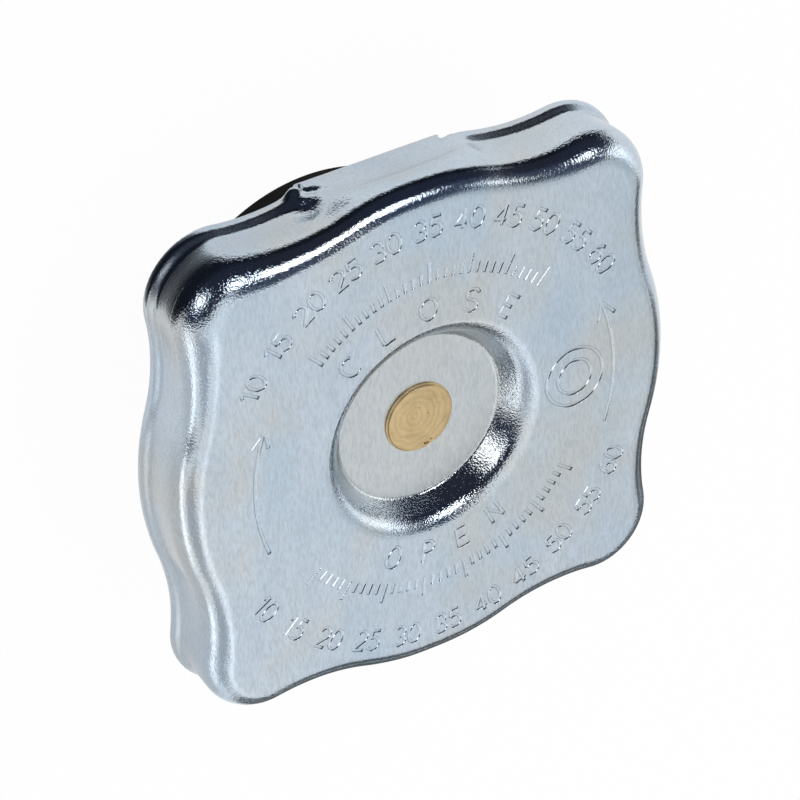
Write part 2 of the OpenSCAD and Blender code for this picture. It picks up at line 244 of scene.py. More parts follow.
def sweep(tree, path, section, material):
    """Ends a geometry tree with a section swept along a path, as plain painted geometry."""
    level = add(tree, "GeometryNodeSetCurveNormal", {"Curve": path}, mode="Z_UP")
    swept = add(tree, "GeometryNodeCurveToMesh",
                {"Curve": level.outputs[0], "Profile Curve": section, "Fill Caps": True})
    realized = add(tree, "GeometryNodeRealizeInstances", {"Geometry": swept.outputs[0]})
    painted = add(tree, "GeometryNodeSetMaterial",
                  {"Geometry": realized.outputs[0], "Material": material})
    add(tree, "NodeGroupOutput", {"Geometry": painted.outputs[0]})


def position(tree):
    """The three coordinates of each point of a geometry tree."""
    here = add(tree, "GeometryNodeInputPosition").outputs[0]
    return add(tree, "ShaderNodeSeparateXYZ", {0: here}).outputs


def put(tree, geometry, *place):
    """Moves each point to the given coordinates."""
    moved = add(tree, "ShaderNodeCombineXYZ", enumerate(place)).outputs[0]
    return add(tree, "GeometryNodeSetPosition", {"Geometry": geometry, "Position": moved}).outputs[0]


def grow(obj, tree, **sizes):
    """Runs a geometry tree on an object and leaves its result as the object's plain mesh."""
    modifier = obj.modifiers.new(tree.name, "NODES")
    modifier.node_group = tree
    for item in tree.interface.items_tree:
        if item.name in sizes:
            modifier[item.identifier] = sizes[item.name]
    make_plain(obj)
    face_outwards(obj)


def make_plain(obj):
    """Replaces an object's mesh by what its modifiers make of it."""
    bpy.context.view_layer.update()
    evaluated = obj.evaluated_get(bpy.context.evaluated_depsgraph_get())
    mesh = bpy.data.meshes.new_from_object(evaluated)
    obj.modifiers.clear()
    old = obj.data
    obj.data = mesh
    bpy.data.meshes.remove(old)


# Meshes

MEET = 1e-7
MEET_AFTER_CUT = 1e-6
ON_AXIS = 1e-6
CREASE = 35
FILLET_STEPS = 5


def new_object(name, points, faces=(), edges=()):
    mesh = bpy.data.meshes.new(name)
    mesh.from_pydata([tuple(p) for p in points], [tuple(e) for e in edges], [tuple(f) for f in faces])
    obj = bpy.data.objects.new(name, mesh)
    bpy.context.scene.collection.objects.link(obj)
    return obj


def face_outwards(obj, weld=MEET):
    """Joins the points of a closed mesh that meet, and turns its faces outwards."""
    work = bmesh.new()
    work.from_mesh(obj.data)
    bmesh.ops.remove_doubles(work, verts=work.verts, dist=weld)
    bmesh.ops.recalc_face_normals(work, faces=work.faces)
    work.to_mesh(obj.data)
    work.free()


def shade(obj, angle=CREASE):
    """Smooth shading that keeps flat faces flat and edges over an angle sharp."""
    obj.data.shade_smooth()
    obj.data.set_sharp_from_angle(angle=math.radians(angle))
    weighted = obj.modifiers.new("Weighted Normal", "WEIGHTED_NORMAL")
    weighted.keep_sharp = True
    make_plain(obj)


def carve(obj, *cutters):
    """Cuts closed meshes out of a piece and removes them."""
    for cutter in cutters:
        cut = obj.modifiers.new(cutter.name, "BOOLEAN")
        cut.operation = "DIFFERENCE"
        cut.solver = "MANIFOLD"
        cut.object = cutter
    make_plain(obj)
    face_outwards(obj, MEET_AFTER_CUT)
    for cutter in cutters:
        bpy.data.objects.remove(cutter)


def finish_piece(obj, node, material):
    """Gives a piece its finish and hands it to the frame in place of its node."""
    body, slot = PIECES[node]
    obj.data.materials.clear()
    obj.data.materials.append(material)
    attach(obj, body)
    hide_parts(node)


def box_mm(node):
    """The two corners of a node's box in millimetres."""
    return [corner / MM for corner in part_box(node)]


def rounded_section(corners):
    """Points of a closed section whose corners are (radius, height, fillet)."""
    points = []
    count = len(corners)
    for i, (x, y, fillet) in enumerate(corners):
        here = Vector((x, y))
        if fillet == 0:
            points.append(here)
            continue
        before = Vector(corners[i - 1][:2]) - here
        after = Vector(corners[(i + 1) % count][:2]) - here
        half = before.angle(after) / 2
        reach = fillet / math.tan(half)
        inwards = (before.normalized() + after.normalized()).normalized()
        centre = here + inwards * (fillet / math.sin(half))
        start = here + before.normalized() * reach - centre
        turn = start.angle_signed(here + after.normalized() * reach - centre)
        for k in range(FILLET_STEPS + 1):
            points.append(centre + Matrix.Rotation(-turn * k / FILLET_STEPS, 2) @ start)
    return points


def turned(name, corners, steps=144):
    """A closed turned piece from the corners of its section, in millimetres."""
    section = rounded_section(corners)
    on_axis = [p.x < ON_AXIS for p in section]
    rings = []
    points = []
    for p, pole in zip(section, on_axis):
        count = 1 if pole else steps
        rings.append([len(points) + i * (not pole) for i in range(steps)])
        for i in range(count):
            a = math.tau * i / steps
            points.append((p.x * MM * math.cos(a), p.x * MM * math.sin(a), p.y * MM))
    faces = []
    for k, ring in enumerate(rings):
        following = (k + 1) % len(rings)
        if on_axis[k] and on_axis[following]:
            continue
        for i in range(steps):
            j = (i + 1) % steps
            corner = [ring[i], ring[j], rings[following][j], rings[following][i]]
            faces.append(list(dict.fromkeys(corner)))
    obj = new_object(name, points, faces)
    face_outwards(obj)
    return obj


def prism(name, outline, low, high, place):
    """A closed prism over a plane outline between two heights, put in place by a matrix."""
    count = len(outline)
    points = [place @ Vector((x, y, z)) for z in (low, high) for x, y in outline]
    faces = [range(count - 1, -1, -1), range(count, 2 * count)]
    faces += [(i, (i + 1) % count, count + (i + 1) % count, count + i) for i in range(count)]
    obj = new_object(name, points, faces)
    face_outwards(obj)
    return obj


def circle(radius, steps=32, centre=(0, 0)):
    turns = [math.tau * i / steps for i in range(steps)]
    return [(centre[0] + radius * math.cos(a), centre[1] + radius * math.sin(a)) for a in turns]


# Cover

ARC_STEPS = 200
STATION_STEP = 0.8 * MM
EDGE_STEPS = 16
WALL_STEPS = 18
FLARE_STEPS = 10
DISH_STEPS = 9
DISH_FLOOR_STEPS = 4
FACE_STEPS = 5
RIM_STEPS = 8
TAB_STEPS = 9
COVER_CREASE = 32

# Stations near a tab's end, in millimetres from it
TAB_END_INSETS = (3.6, 3.2, 2.8, 2.4, 2, 1.5, 1.1, 0.8, 0.4, 0.15, 0,
                  -0.3, -0.6, -0.9, -1.2, -1.6, -2, -2.5)

# A tab's side of the skirt: least depth and largest half width, as shares of the skirt's radius
TAB_SIDE_DEPTH = 0.75
TAB_SIDE_HALF = 0.6
PASSAGES_A_TAB = 6
TAB_BLEND = 0.3 * MM
FLARE_SHARE = 0.75
GRIP_EARLY = 1.4


def ease(k):
    k = np.clip(k, 0, 1)
    return k * k * (3 - 2 * k)


def soft_least(a, b, reach):
    """The lesser of two values, with a smooth passage where they are within reach of each other."""
    near = np.maximum(reach - np.abs(a - b), 0) / reach
    return np.minimum(a, b) - near * near * reach / 4


def grip_share(c, radius):
    """0 on the round skirt, and 1 well before the tip of a grip."""
    return ease((radius - c.skirt_r) / (c.grip_reach - c.skirt_r) * GRIP_EARLY)


def fine_outline(c):
    """Close points and outward normals round the skirt, from +X anticlockwise."""
    grip_dist = c.grip_reach - c.grip_r
    far = c.skirt_r + c.hollow_r
    along = (far ** 2 - (c.grip_r + c.hollow_r) ** 2 + grip_dist ** 2) / (2 * grip_dist)
    across = math.sqrt(far ** 2 - along ** 2)
    grip_half = math.atan2(across, along - grip_dist)
    skirt_from = math.atan2(across, along)
    arcs = [
        ((0, 0), c.skirt_r, -math.pi / 4, -skirt_from, 1),
        ((along, -across), c.hollow_r, math.pi - skirt_from, math.pi - grip_half, -1),
        ((grip_dist, 0), c.grip_r, -grip_half, grip_half, 1),
        ((along, across), c.hollow_r, math.pi + grip_half, math.pi + skirt_from, -1),
        ((0, 0), c.skirt_r, skirt_from, math.pi / 4, 1),
    ]
    points, normals = [], []
    for quarter in range(4):
        turn = Matrix.Rotation(math.pi / 4 + quarter * math.pi / 2, 2)
        for centre, radius, start, end, side in arcs:
            for a in np.linspace(start, end, ARC_STEPS, endpoint=False):
                way = Vector((math.cos(a), math.sin(a)))
                points.append(turn @ (Vector(centre) + radius * way))
                normals.append(turn @ (side * way))
    return np.array(points), np.array(normals)


def cover_stations(c):
    """Stations round the skirt: points, normals, how far each stands beside a tab, and its tab."""
    points, normals = fine_outline(c)
    steps = np.linalg.norm(np.roll(points, -1, 0) - points, axis=1)
    run = np.concatenate([[0], np.cumsum(steps)])
    points, normals = np.vstack([points, points[:1]]), np.vstack([normals, normals[:1]])
    least_depth, half = c.skirt_r * TAB_SIDE_DEPTH, c.skirt_r * TAB_SIDE_HALF
    keys = [0.0, run[-1]]
    for side in (1, -1):
        there = (points[:, 1] * side > least_depth) & (np.abs(points[:, 0]) < half)
        order = np.argsort(points[there, 0])
        for end in (-1, 1):
            for inset in TAB_END_INSETS:
                x = side * (end * (c.tab_w / 2 - inset * MM) - c.tab_shift)
                keys.append(np.interp(x, points[there, 0][order], run[there][order]))
    keys.sort()
    at = np.concatenate([
        np.linspace(a, b, max(1, round((b - a) / STATION_STEP)), endpoint=False)
        for a, b in zip(keys, keys[1:])])
    place = np.stack([np.interp(at, run, points[:, k]) for k in (0, 1)], 1)
    normal = np.stack([np.interp(at, run, normals[:, k]) for k in (0, 1)], 1)
    normal /= np.linalg.norm(normal, axis=1, keepdims=True)
    side = np.sign(place[:, 1]) * (np.abs(place[:, 1]) > least_depth)
    from_end = c.tab_w / 2 - np.abs(place[:, 0] + side * c.tab_shift)
    beside = np.where(side == 0, 1, ease(-from_end / (c.tab_w / PASSAGES_A_TAB)))
    tab = np.where(from_end > -MEET, side, 0)
    corner = c.grip_reach * math.sqrt(0.5)
    # 1 at the front left grip, a half at the front right one and 0 at the back
    front_left = ease(0.25 + (0.5 * place[:, 1] - 0.25 * place[:, 0]) / corner)
    at_grip = grip_share(c, np.linalg.norm(place, axis=1))
    edge_r = c.edge_r + (c.grip_edge_r - c.edge_r) * at_grip * front_left
    return SimpleNamespace(place=place, normal=normal, beside=beside, side=side, tab=tab, edge_r=edge_r,
                           from_end=np.maximum(from_end, 0), count=len(at))


def ring_at(s, radius, z):
    """A round row of points, one for each station."""
    ways = s.place / np.linalg.norm(s.place, axis=1, keepdims=True)
    return np.column_stack([ways * radius, np.full(s.count, z)])


def skirt_row(c, s, off, z, flat=0.0, flared=0.0):
    """A row along the outline, grown by off and flared, and flattened where the tabs are.

    off and z are one value, or one for each station.
    """
    grown = s.place + s.normal * (off + flared * s.beside)[:, None]
    limit = c.skirt_r - c.tab_flat * flat + off
    depth = grown[:, 1] * s.side
    held = soft_least(depth, limit, TAB_BLEND)
    held += (limit - held) * (1 - s.beside) * flat
    grown[:, 1] = np.where(s.beside < 1, held * s.side, grown[:, 1])
    return np.column_stack([grown, np.broadcast_to(z, s.count)])


def dish_section(c, side):
    """Radius and height along the dish, from the bore to its rim, half a sheet above or below."""
    bends = c.dish_low_r + c.dish_high_r
    fall = c.dish_depth - bends * (1 - math.cos(c.dish_slope))
    reach = c.dish_floor_r + fall / math.tan(c.dish_slope) + bends * math.sin(c.dish_slope)
    mid = c.face_z - c.sheet / 2
    floor = np.linspace(c.bore_r, c.dish_floor_r, DISH_FLOOR_STEPS + 1)[:-1]
    section = [(r, mid - c.dish_depth + side) for r in floor]
    turns = np.linspace(0, c.dish_slope, DISH_STEPS)
    low = c.dish_low_r - side
    section += [(c.dish_floor_r + low * math.sin(a),
                 mid - c.dish_depth + c.dish_low_r - low * math.cos(a)) for a in turns]
    high = c.dish_high_r + side
    section += [(reach - high * math.sin(a),
                 mid - c.dish_high_r + high * math.cos(a)) for a in turns[::-1]]
    return section


def cover_side(c, s, inset):
    """Rows of one side of the sheet, from the bore out to the free edge."""
    rows = [ring_at(s, r, z) for r, z in dish_section(c, c.sheet / 2 - inset)]
    edge = s.edge_r - inset
    top = c.face_z - s.edge_r
    low = c.face_z - c.skirt_h + c.flare_h
    first = skirt_row(c, s, -s.edge_r, c.face_z - inset)
    rows += [rows[-1] + (first - rows[-1]) * k for k in np.linspace(0, 1, FACE_STEPS + 1)[1:-1]]
    for a in np.linspace(math.pi / 2, 0, EDGE_STEPS + 1):
        rows.append(skirt_row(c, s, edge * math.cos(a) - s.edge_r, top + edge * math.sin(a)))
    for k in np.linspace(0, 1, WALL_STEPS + 1)[1:]:
        rows.append(skirt_row(c, s, -inset, top + (low - top) * k, ease(k), -c.waist * ease(k)))
    for k in np.linspace(0, 1, FLARE_STEPS + 1)[1:]:
        flared = (c.flare + c.waist) * ease(k / FLARE_SHARE) - c.waist
        rows.append(skirt_row(c, s, -inset, low - (c.flare_h - c.rim_round) * k, 1, flared))
    return rows


def tab_rows(c, s, cols):
    """Rows of a tab from the skirt's outside round the tip and back to its inside."""
    z0 = c.face_z - c.skirt_h
    inset = np.minimum(s.from_end[cols], c.tab_corner_r)
    cut = c.tab_corner_r - np.sqrt(c.tab_corner_r ** 2 - (c.tab_corner_r - inset) ** 2)
    tip = c.tab_reach - cut
    soft = c.rim_round / 2
    turns = np.linspace(0, math.pi / 2, TAB_STEPS)
    straight = np.linspace(0, 1, 4)[1:]
    sides = []
    for radius, lip in ((c.tab_bend_r, soft), (c.tab_bend_r - c.sheet, -soft)):
        side = [(c.tab_bend_r - radius * math.cos(a), z0 - radius * math.sin(a)) for a in turns]
        side += [(c.tab_bend_r + (tip - soft - c.tab_bend_r) * k, z0 - radius) for k in straight]
        sides.append(side + [(tip, z0 - radius + lip)])
    outer, inner = sides
    x = s.place[cols, 0]
    rows = []
    for depth, z in outer + inner[::-1]:
        y = s.tab[cols] * (c.skirt_r - c.tab_flat - depth)
        rows.append(np.column_stack([x, y, np.full(len(cols), z)]))
    return rows


def rim_rows(c, upper, lower, cols):
    """Rows round the sheared free edge, which runs out flat at its two ends."""
    fade = np.ones(len(cols))
    fade[[0, -1]] = 0
    rows = []
    for k in np.linspace(0, 1, RIM_STEPS + 1)[1:-1]:
        row = upper[cols] + (lower[cols] - upper[cols]) * (1 - math.cos(math.pi * k)) / 2
        row[:, 2] -= c.rim_round * math.sin(math.pi * k) * fade
        rows.append(row)
    return rows


def quads(index):
    """Faces between neighbouring rows and columns of a table of vertex numbers."""
    corners = [index[:-1, :-1], index[:-1, 1:], index[1:, 1:], index[1:, :-1]]
    return np.stack(corners, -1).reshape(-1, 4).tolist()


def wrapped(index):
    return np.hstack([index, index[:, :1]])


def cover_mesh(c):
    """The closed sheet of the cover with both tabs, before it is stamped and notched."""
    s = cover_stations(c)
    upper = cover_side(c, s, 0)
    lower = cover_side(c, s, c.sheet)
    points = [np.vstack(upper), np.vstack(lower)]
    above = np.arange(len(upper) * s.count).reshape(-1, s.count)
    below = above.size + np.arange(len(lower) * s.count).reshape(-1, s.count)
    bore = np.vstack([above[0], below[0]])
    faces = quads(wrapped(above)) + quads(wrapped(below)) + quads(wrapped(bore))

    def knit(rows, cols):
        """Joins both sides of the sheet by rows, and returns the rows' vertex numbers."""
        index = sum(map(len, points)) + np.arange(len(rows) * len(cols)).reshape(-1, len(cols))
        points.append(np.vstack(rows))
        faces.extend(quads(np.vstack([above[-1, cols], index, below[-1, cols]])))
        return index

    tabs = [np.flatnonzero(s.tab == side) for side in (1, -1)]
    gaps = [np.arange(tabs[0][-1], tabs[1][0] + 1),
            np.arange(tabs[1][-1], tabs[0][0] + 1 + s.count) % s.count]
    ends = {}
    for cols in gaps:
        index = knit(rim_rows(c, upper[-1], lower[-1], cols), cols)
        for k in (0, -1):
            ends[cols[k]] = index[:, k]
    for cols in tabs:
        index = knit(tab_rows(c, s, cols), cols)
        for k in (0, -1):
            col = cols[k]
            strip = index[:, k]
            half = len(strip) // 2
            faces.append([above[-1, col], *ends[col], below[-1, col], strip[-1], strip[0]])
            faces += [[strip[i], strip[-1 - i], strip[-2 - i], strip[i + 1]] for i in range(half - 1)]
    return new_object("stamped_cover", np.vstack(points), faces)


# Marks of the press beside the front tab: place, half width and push outwards as a share of the dent
PRESS_MARKS = (
    ((-11.1, 31.2, 0.2), 1.15, -1.9),
    ((-9.2, 31.5, 1.8), 1.9, -0.45),
    ((-11.4, 31.2, -3.3), 0.7, 1.1),
    ((-10.9, 31.3, -1.3), 0.4, 0.7),
    ((-10.3, 31.4, -2.4), 0.4, -0.7),
    ((-9.3, 31.6, -2.1), 0.45, -0.6),
    ((-8.0, 31.7, -1.5), 0.5, -0.4),
    ((8.7, 32.0, -2.6), 0.5, 0.5),
)
LONG_WAVES = 90
SHORT_WAVES = 260

# Where the unevenness begins and over how much it grows, as shares of the skirt's radius
WANDER_FROM = 0.8
WANDER_OVER = 0.12


def wander(obj, c):
    """Gives the drawn edges and walls the unevenness of real sheet, and the marks beside the tab."""
    for vertex in obj.data.vertices:
        p = vertex.co.copy()
        out = float(ease((p.xy.length - WANDER_FROM * c.skirt_r) / (WANDER_OVER * c.skirt_r)))
        if out > 0:
            move = c.wobble * out * (noise.noise(p * LONG_WAVES) + 0.5 * noise.noise(p * SHORT_WAVES))
            for place, wide, push in PRESS_MARKS:
                far = (p - Vector(place) * MM).length / (wide * MM)
                move += c.dent * push * math.exp(-far * far / 2)
            vertex.co += Vector((p.x, p.y, 0)).normalized() * move


def relief_cutters(c):
    """Round notches in the free edge at either end of both tabs."""
    cutters = []
    for side in (1, -1):
        for end in (-1, 1):
            x = side * (end * (c.tab_w / 2 + c.relief_r / 2) - c.tab_shift)
            place = Matrix.Translation((x, side * (c.skirt_r - c.tab_flat), c.face_z - c.skirt_h))
            place = place @ Matrix.Rotation(math.pi / 2, 4, "X")
            cutters.append(prism("relief", circle(c.relief_r), -3 * c.sheet, 3 * c.sheet, place))
    return cutters


# Stamped marks

STROKE_SHARES = np.linspace(0, 1, 5)


def line(start, end):
    """A straight stroke, with points between so that it can follow a round row."""
    (ax, ay), (bx, by) = start, end
    return [(ax + (bx - ax) * k, ay + (by - ay) * k) for k in STROKE_SHARES]


def bow(x, y, wide, high, start, end):
    """A stroke along part of an ellipse."""
    turns = np.radians(np.linspace(start, end, 4 + round(abs(end - start) / 15)))
    return [(x + wide * math.cos(a), y + high * math.sin(a)) for a in turns]


# Width and strokes of each figure on a field one high. Strokes that meet stand in different places of
# the list, because each place is stamped by itself.
STEM = line((0, 0), (0, 1))
FIGURES = {
    "0": (0.60, [[bow(0.30, 0.5, 0.30, 0.5, 90, 450)]]),
    "1": (0.34, [[line((0.24, 0), (0.24, 1))], [line((0.0, 0.76), (0.24, 1))]]),
    "2": (0.60, [[bow(0.30, 0.70, 0.29, 0.30, 165, -38) + [(0.02, 0.0)]], [line((0, 0), (0.60, 0))]]),
    "3": (0.58, [[bow(0.27, 0.75, 0.26, 0.25, 150, -88)], [bow(0.27, 0.26, 0.30, 0.26, 88, -150)]]),
    "4": (0.62, [[line((0.45, 0), (0.45, 1))], [line((0, 0.28), (0.62, 0.28))],
                 [line((0, 0.28), (0.45, 1))]]),
    "5": (0.58, [[bow(0.26, 0.32, 0.31, 0.32, 128, -145)], [line((0.07, 0.58), (0.10, 1))],
                 [line((0.10, 1), (0.54, 1))]]),
    "6": (0.60, [[bow(0.30, 0.31, 0.29, 0.31, 90, 450)], [bow(0.62, 0.36, 0.61, 0.66, 108, 178)]]),
    "C": (0.62, [[bow(0.36, 0.5, 0.36, 0.5, 48, 312)]]),
    "E": (0.54, [[STEM], [line((0, y), (x, y)) for y, x in ((0, 0.54), (0.5, 0.44), (1, 0.54))]]),
    "L": (0.52, [[STEM], [line((0, 0), (0.52, 0))]]),
    "N": (0.60, [[STEM, line((0.60, 0), (0.60, 1))], [line((0, 1), (0.60, 0))]]),
    "O": (0.70, [[bow(0.35, 0.5, 0.35, 0.5, 90, 450)]]),
    "P": (0.54, [[STEM], [[(0, 1)] + bow(0.28, 0.75, 0.26, 0.25, 90, -90) + [(0, 0.5)]]]),
    "S": (0.58, [[bow(0.29, 0.75, 0.27, 0.25, 25, 270) + bow(0.29, 0.25, 0.29, 0.25, 90, -155)[1:]]]),
}
MARK_LAYERS = 3
NUMBERS = [str(number) for number in range(10, 65, 5)]
NUMBER_GAP = 0.5 * MM
WORD_H = 2.8 * MM
WORD_GAP = 3.6 * MM
TICK_H = 2.6 * MM
SHORT_TICK = 0.55
RING_RADII = (3.9 * MM, 2.3 * MM)
RINGS_AT = (19.3 * MM, 0)
BARB_BACK = 5.6
BARB_ASIDE = 1.2 * MM
LIP = 0.03 * MM


def set_on_arc(layers, word, radius, height, middle, gap, inwards=False):
    """Sets a word round the axis. Its tops point outwards, or inwards on the lower rows."""
    width = sum(FIGURES[f][0] for f in word) * height + gap * (len(word) - 1)
    way = 1 if inwards else -1
    x0 = -width / 2
    for figure in word:
        wide, strokes = FIGURES[figure]
        for layer, group in enumerate(strokes):
            for stroke in group:
                placed = []
                for x, y in stroke:
                    a = math.radians(middle) + way * (x0 + x * height) / radius
                    r = radius - way * y * height
                    placed.append((r * math.cos(a), r * math.sin(a)))
                layers[layer].append(placed)
        x0 += wide * height + gap


def polar(radius, angle):
    return (radius * math.cos(math.radians(angle)), radius * math.sin(math.radians(angle)))


def arc_stroke(radius, start, end, centre=(0, 0)):
    count = 3 + round(abs(end - start) / 3)
    turns = [polar(radius, a) for a in np.linspace(start, end, count)]
    return [(centre[0] + x, centre[1] + y) for x, y in turns]


def set_ticks(layers, radius, start, end, count):
    """Radial graduation marks, every fifth of full length."""
    for i, a in enumerate(np.linspace(start, end, count)):
        tall = TICK_H if i % 5 == 0 else TICK_H * SHORT_TICK
        layers[0].append([polar(radius + tall * k, a) for k in STROKE_SHARES])


def set_arrow(layers, radius, tail, tip):
    """A curved arrow along the rim, with its two barbs."""
    layers[0].append(arc_stroke(radius, tail, tip))
    back = math.copysign(BARB_BACK, tail - tip)
    for layer, aside in ((1, BARB_ASIDE), (2, -BARB_ASIDE)):
        layers[layer].append(line(polar(radius, tip), polar(radius + aside, tip + back)))


def mark_strokes(m):
    """All stamped strokes on the face, in layers whose strokes don't meet."""
    layers = [[] for _ in range(MARK_LAYERS)]
    for k, number in enumerate(NUMBERS):
        set_on_arc(layers, number, m.upper_outer_r, m.height, 147 - 11.4 * k, NUMBER_GAP)
    set_ticks(layers, m.upper_middle_r, 134, 46, 31)
    set_on_arc(layers, "CLOSE", m.upper_inner_r, WORD_H, 91, WORD_GAP)
    set_on_arc(layers, "OPEN", m.lower_inner_r, WORD_H, -87, WORD_GAP, inwards=True)
    set_ticks(layers, m.lower_middle_r - WORD_H, -141, -35, 36)
    for k, number in enumerate(NUMBERS):
        set_on_arc(layers, number, m.lower_outer_r, m.height, -146 + 11.6 * k, NUMBER_GAP, inwards=True)
    set_arrow(layers, 23.8 * MM, 200, 158)
    set_arrow(layers, 24.8 * MM, -19, 21)
    for radius in RING_RADII:
        layers[0].append(arc_stroke(radius, 0, 360, RINGS_AT))
    return layers


def groove_tree(material):
    """Sweeps a stamping tool with soft lips along strokes, which run out thin at open ends."""
    tree, sizes = new_geometry_tree("Stamped Grooves", Width=0.3 * MM, Depth=0.2 * MM, Lip=LIP,
                                    Step=0.2 * MM, Taper=0.3 * MM, Crown=0.3 * MM)
    paths = add(tree, "GeometryNodeMeshToCurve", {"Mesh": sizes["Geometry"]})
    fine = add(tree, "GeometryNodeResampleCurve", {"Curve": paths.outputs[0], "Length": sizes["Step"]},
               mode="LENGTH")
    along = add(tree, "GeometryNodeSplineParameter").outputs["Length"]
    left = maths(tree, "SUBTRACT", add(tree, "GeometryNodeSplineLength").outputs["Length"], along)
    run = maths(tree, "DIVIDE", maths(tree, "MINIMUM", along, left), sizes["Taper"])
    run = maths(tree, "MAXIMUM", run, add(tree, "GeometryNodeInputSplineCyclic").outputs[0])
    thick = add(tree, "ShaderNodeMapRange", {"Value": run, "To Min": 0.4, "To Max": 1.0},
                interpolation_type="SMOOTHERSTEP")
    tapered = add(tree, "GeometryNodeSetCurveRadius",
                  {"Curve": fine.outputs[0], "Radius": thick.outputs[0]})
    ring = add(tree, "GeometryNodeCurvePrimitiveCircle", {"Resolution": 20, "Radius": 1.0})
    across, up, _ = position(tree)
    inside = maths(tree, "SUBTRACT", 1.0, maths(tree, "ABSOLUTE", across))
    side = maths(tree, "MINIMUM", maths(tree, "DIVIDE", inside, 0.55), 1.0)
    swing = maths(tree, "COSINE", maths(tree, "MULTIPLY", side, math.pi))
    bed = maths(tree, "MULTIPLY", maths(tree, "MULTIPLY_ADD", swing, -0.5, 0.5), sizes["Depth"])
    crown = maths(tree, "MULTIPLY", up, sizes["Crown"])
    height = mix_values(tree, maths(tree, "GREATER_THAN", up, 0.0), crown, bed)
    height = maths(tree, "SUBTRACT", height, sizes["Lip"])
    tool = put(tree, ring.outputs[0], maths(tree, "MULTIPLY", across, sizes["Width"]), height)
    sweep(tree, tapered.outputs[0], tool, material)
    return tree


def mark_cutters(c, m):
    """One cutter for each layer of strokes, lying on the face."""
    tree = groove_tree(bpy.data.materials.get("cutter") or bpy.data.materials.new("cutter"))
    cutters = []
    for layer in mark_strokes(m):
        points, edges = [], []
        for stroke in layer:
            closed = (Vector(stroke[0]) - Vector(stroke[-1])).length < MEET_AFTER_CUT
            first = len(points)
            kept = stroke[:-1] if closed else stroke
            points += [(x, y, c.face_z) for x, y in kept]
            edges += [(i, i + 1) for i in range(first, len(points) - 1)]
            if closed:
                edges.append((len(points) - 1, first))
        cutter = new_object("strokes", points, edges=edges)
        grow(cutter, tree, Width=m.stroke_w, Depth=m.stroke_d)
        cutters.append(cutter)
    return cutters


# Polish left by the drawing die

# Share of the skirt's radius inside which the face is stamped, and outside which its edge is drawn
EDGE_FROM = 0.9
DISH_POLISH_R = 15.4 * MM
SCUFF_R = 2.4 * MM
SCUFF_POLISH = 2
WALL_POLISH = 0.8
STAMP_POLISH = 0.7
DISH_POLISH = 1.4
GRIP_POLISH = 0.4

# Upward share of a normal under which a place is polished, and over how much of it the polish grows
BENT = (0.998, 0.03)
STAMPED = (0.98, 0.2)
UPRIGHT = (0.6, 0.3)

# The same share over which a face is level, and how near the face's height its corners lie
LEVEL = 0.995
LEVEL_GAP = 0.001 * MM


def leaning(up, limits):
    return ease((limits[0] - up) / limits[1])


def level_corners(mesh, c):
    """For each face corner, whether it lies on the level face."""
    level = np.zeros(len(mesh.loops), bool)
    for face in mesh.polygons:
        if face.normal.z > LEVEL:
            for corner, vertex in zip(face.loop_indices, face.vertices):
                level[corner] = mesh.vertices[vertex].co.z > c.face_z - LEVEL_GAP
    return level


def level_shading(obj, c):
    """Turns the level face's normals straight up, so that it shades evenly round the marks."""
    mesh = obj.data
    normals = np.array([corner.vector for corner in mesh.corner_normals])
    normals[level_corners(mesh, c)] = (0, 0, 1)
    mesh.normals_split_custom_set(normals)


def mark_polish(obj, c):
    """Stores how far each corner is polished: 0 on the level face, over 1 where grips and dish were
    drawn hard, and up to 2 where the press scuffed the skirt."""
    mesh = obj.data
    place = np.array([vertex.co for vertex in mesh.vertices])
    up = np.array([normal.vector.z for normal in mesh.vertex_normals])
    radius = np.hypot(place[:, 0], place[:, 1])
    depth = c.face_z - place[:, 2]
    outside = radius > EDGE_FROM * c.skirt_r
    edge = outside & (depth < c.grip_edge_r)
    dish = (radius < DISH_POLISH_R) & (depth < c.dish_depth + 0.1 * MM)
    drawn = np.maximum(edge * (1 + GRIP_POLISH * grip_share(c, radius)), dish * DISH_POLISH)
    drawn = drawn * leaning(up, BENT)
    wall = leaning(up, UPRIGHT) * (radius > TAB_SIDE_DEPTH * c.skirt_r)
    drawn = np.maximum(drawn, WALL_POLISH * wall)
    for mark in PRESS_MARKS[:2]:
        far = np.linalg.norm(place - np.array(mark[0]) * MM, axis=1) / SCUFF_R
        drawn = np.maximum(drawn, SCUFF_POLISH * np.exp(-far * far / 2))
    stamped = leaning(up, STAMPED) * (~outside & (depth < 0.3 * MM))
    drawn = np.maximum(drawn, STAMP_POLISH * stamped)
    vertex = np.array([corner.vertex_index for corner in mesh.loops])
    values = np.where(level_corners(mesh, c), 0, drawn[vertex])
    polish = mesh.attributes.new("polish", "FLOAT", "CORNER")
    polish.data.foreach_set("value", values.astype(np.float32))


# Finishes

METAL = {"Metallic": 1.0}
RUBBER = {"Specular IOR Level": 0.12}


def blank_material(name):
    material = bpy.data.materials.new(name)
    material.use_nodes = True
    material.node_tree.nodes.clear()
    return material, material.node_tree


def in_millimetres(tree, stretch=(1, 1, 1)):
    """Object coordinates in millimetres, stretched along each axis."""
    place = add(tree, "ShaderNodeTexCoord").outputs["Object"]
    scale = [k / MM for k in stretch]
    return add(tree, "ShaderNodeMapping", {"Vector": place, "Scale": scale}).outputs[0]


def from_axis(tree):
    """Distance from the cap's axis in millimetres."""
    flat = in_millimetres(tree, (1, 1, 0))
    return add(tree, "ShaderNodeVectorMath", {0: flat}, operation="LENGTH").outputs["Value"]


def cloud(tree, place, scale, detail=3.0, rough=0.5):
    inputs = {"Vector": place, "Scale": scale, "Detail": detail, "Roughness": rough}
    return add(tree, "ShaderNodeTexNoise", inputs).outputs["Fac"]


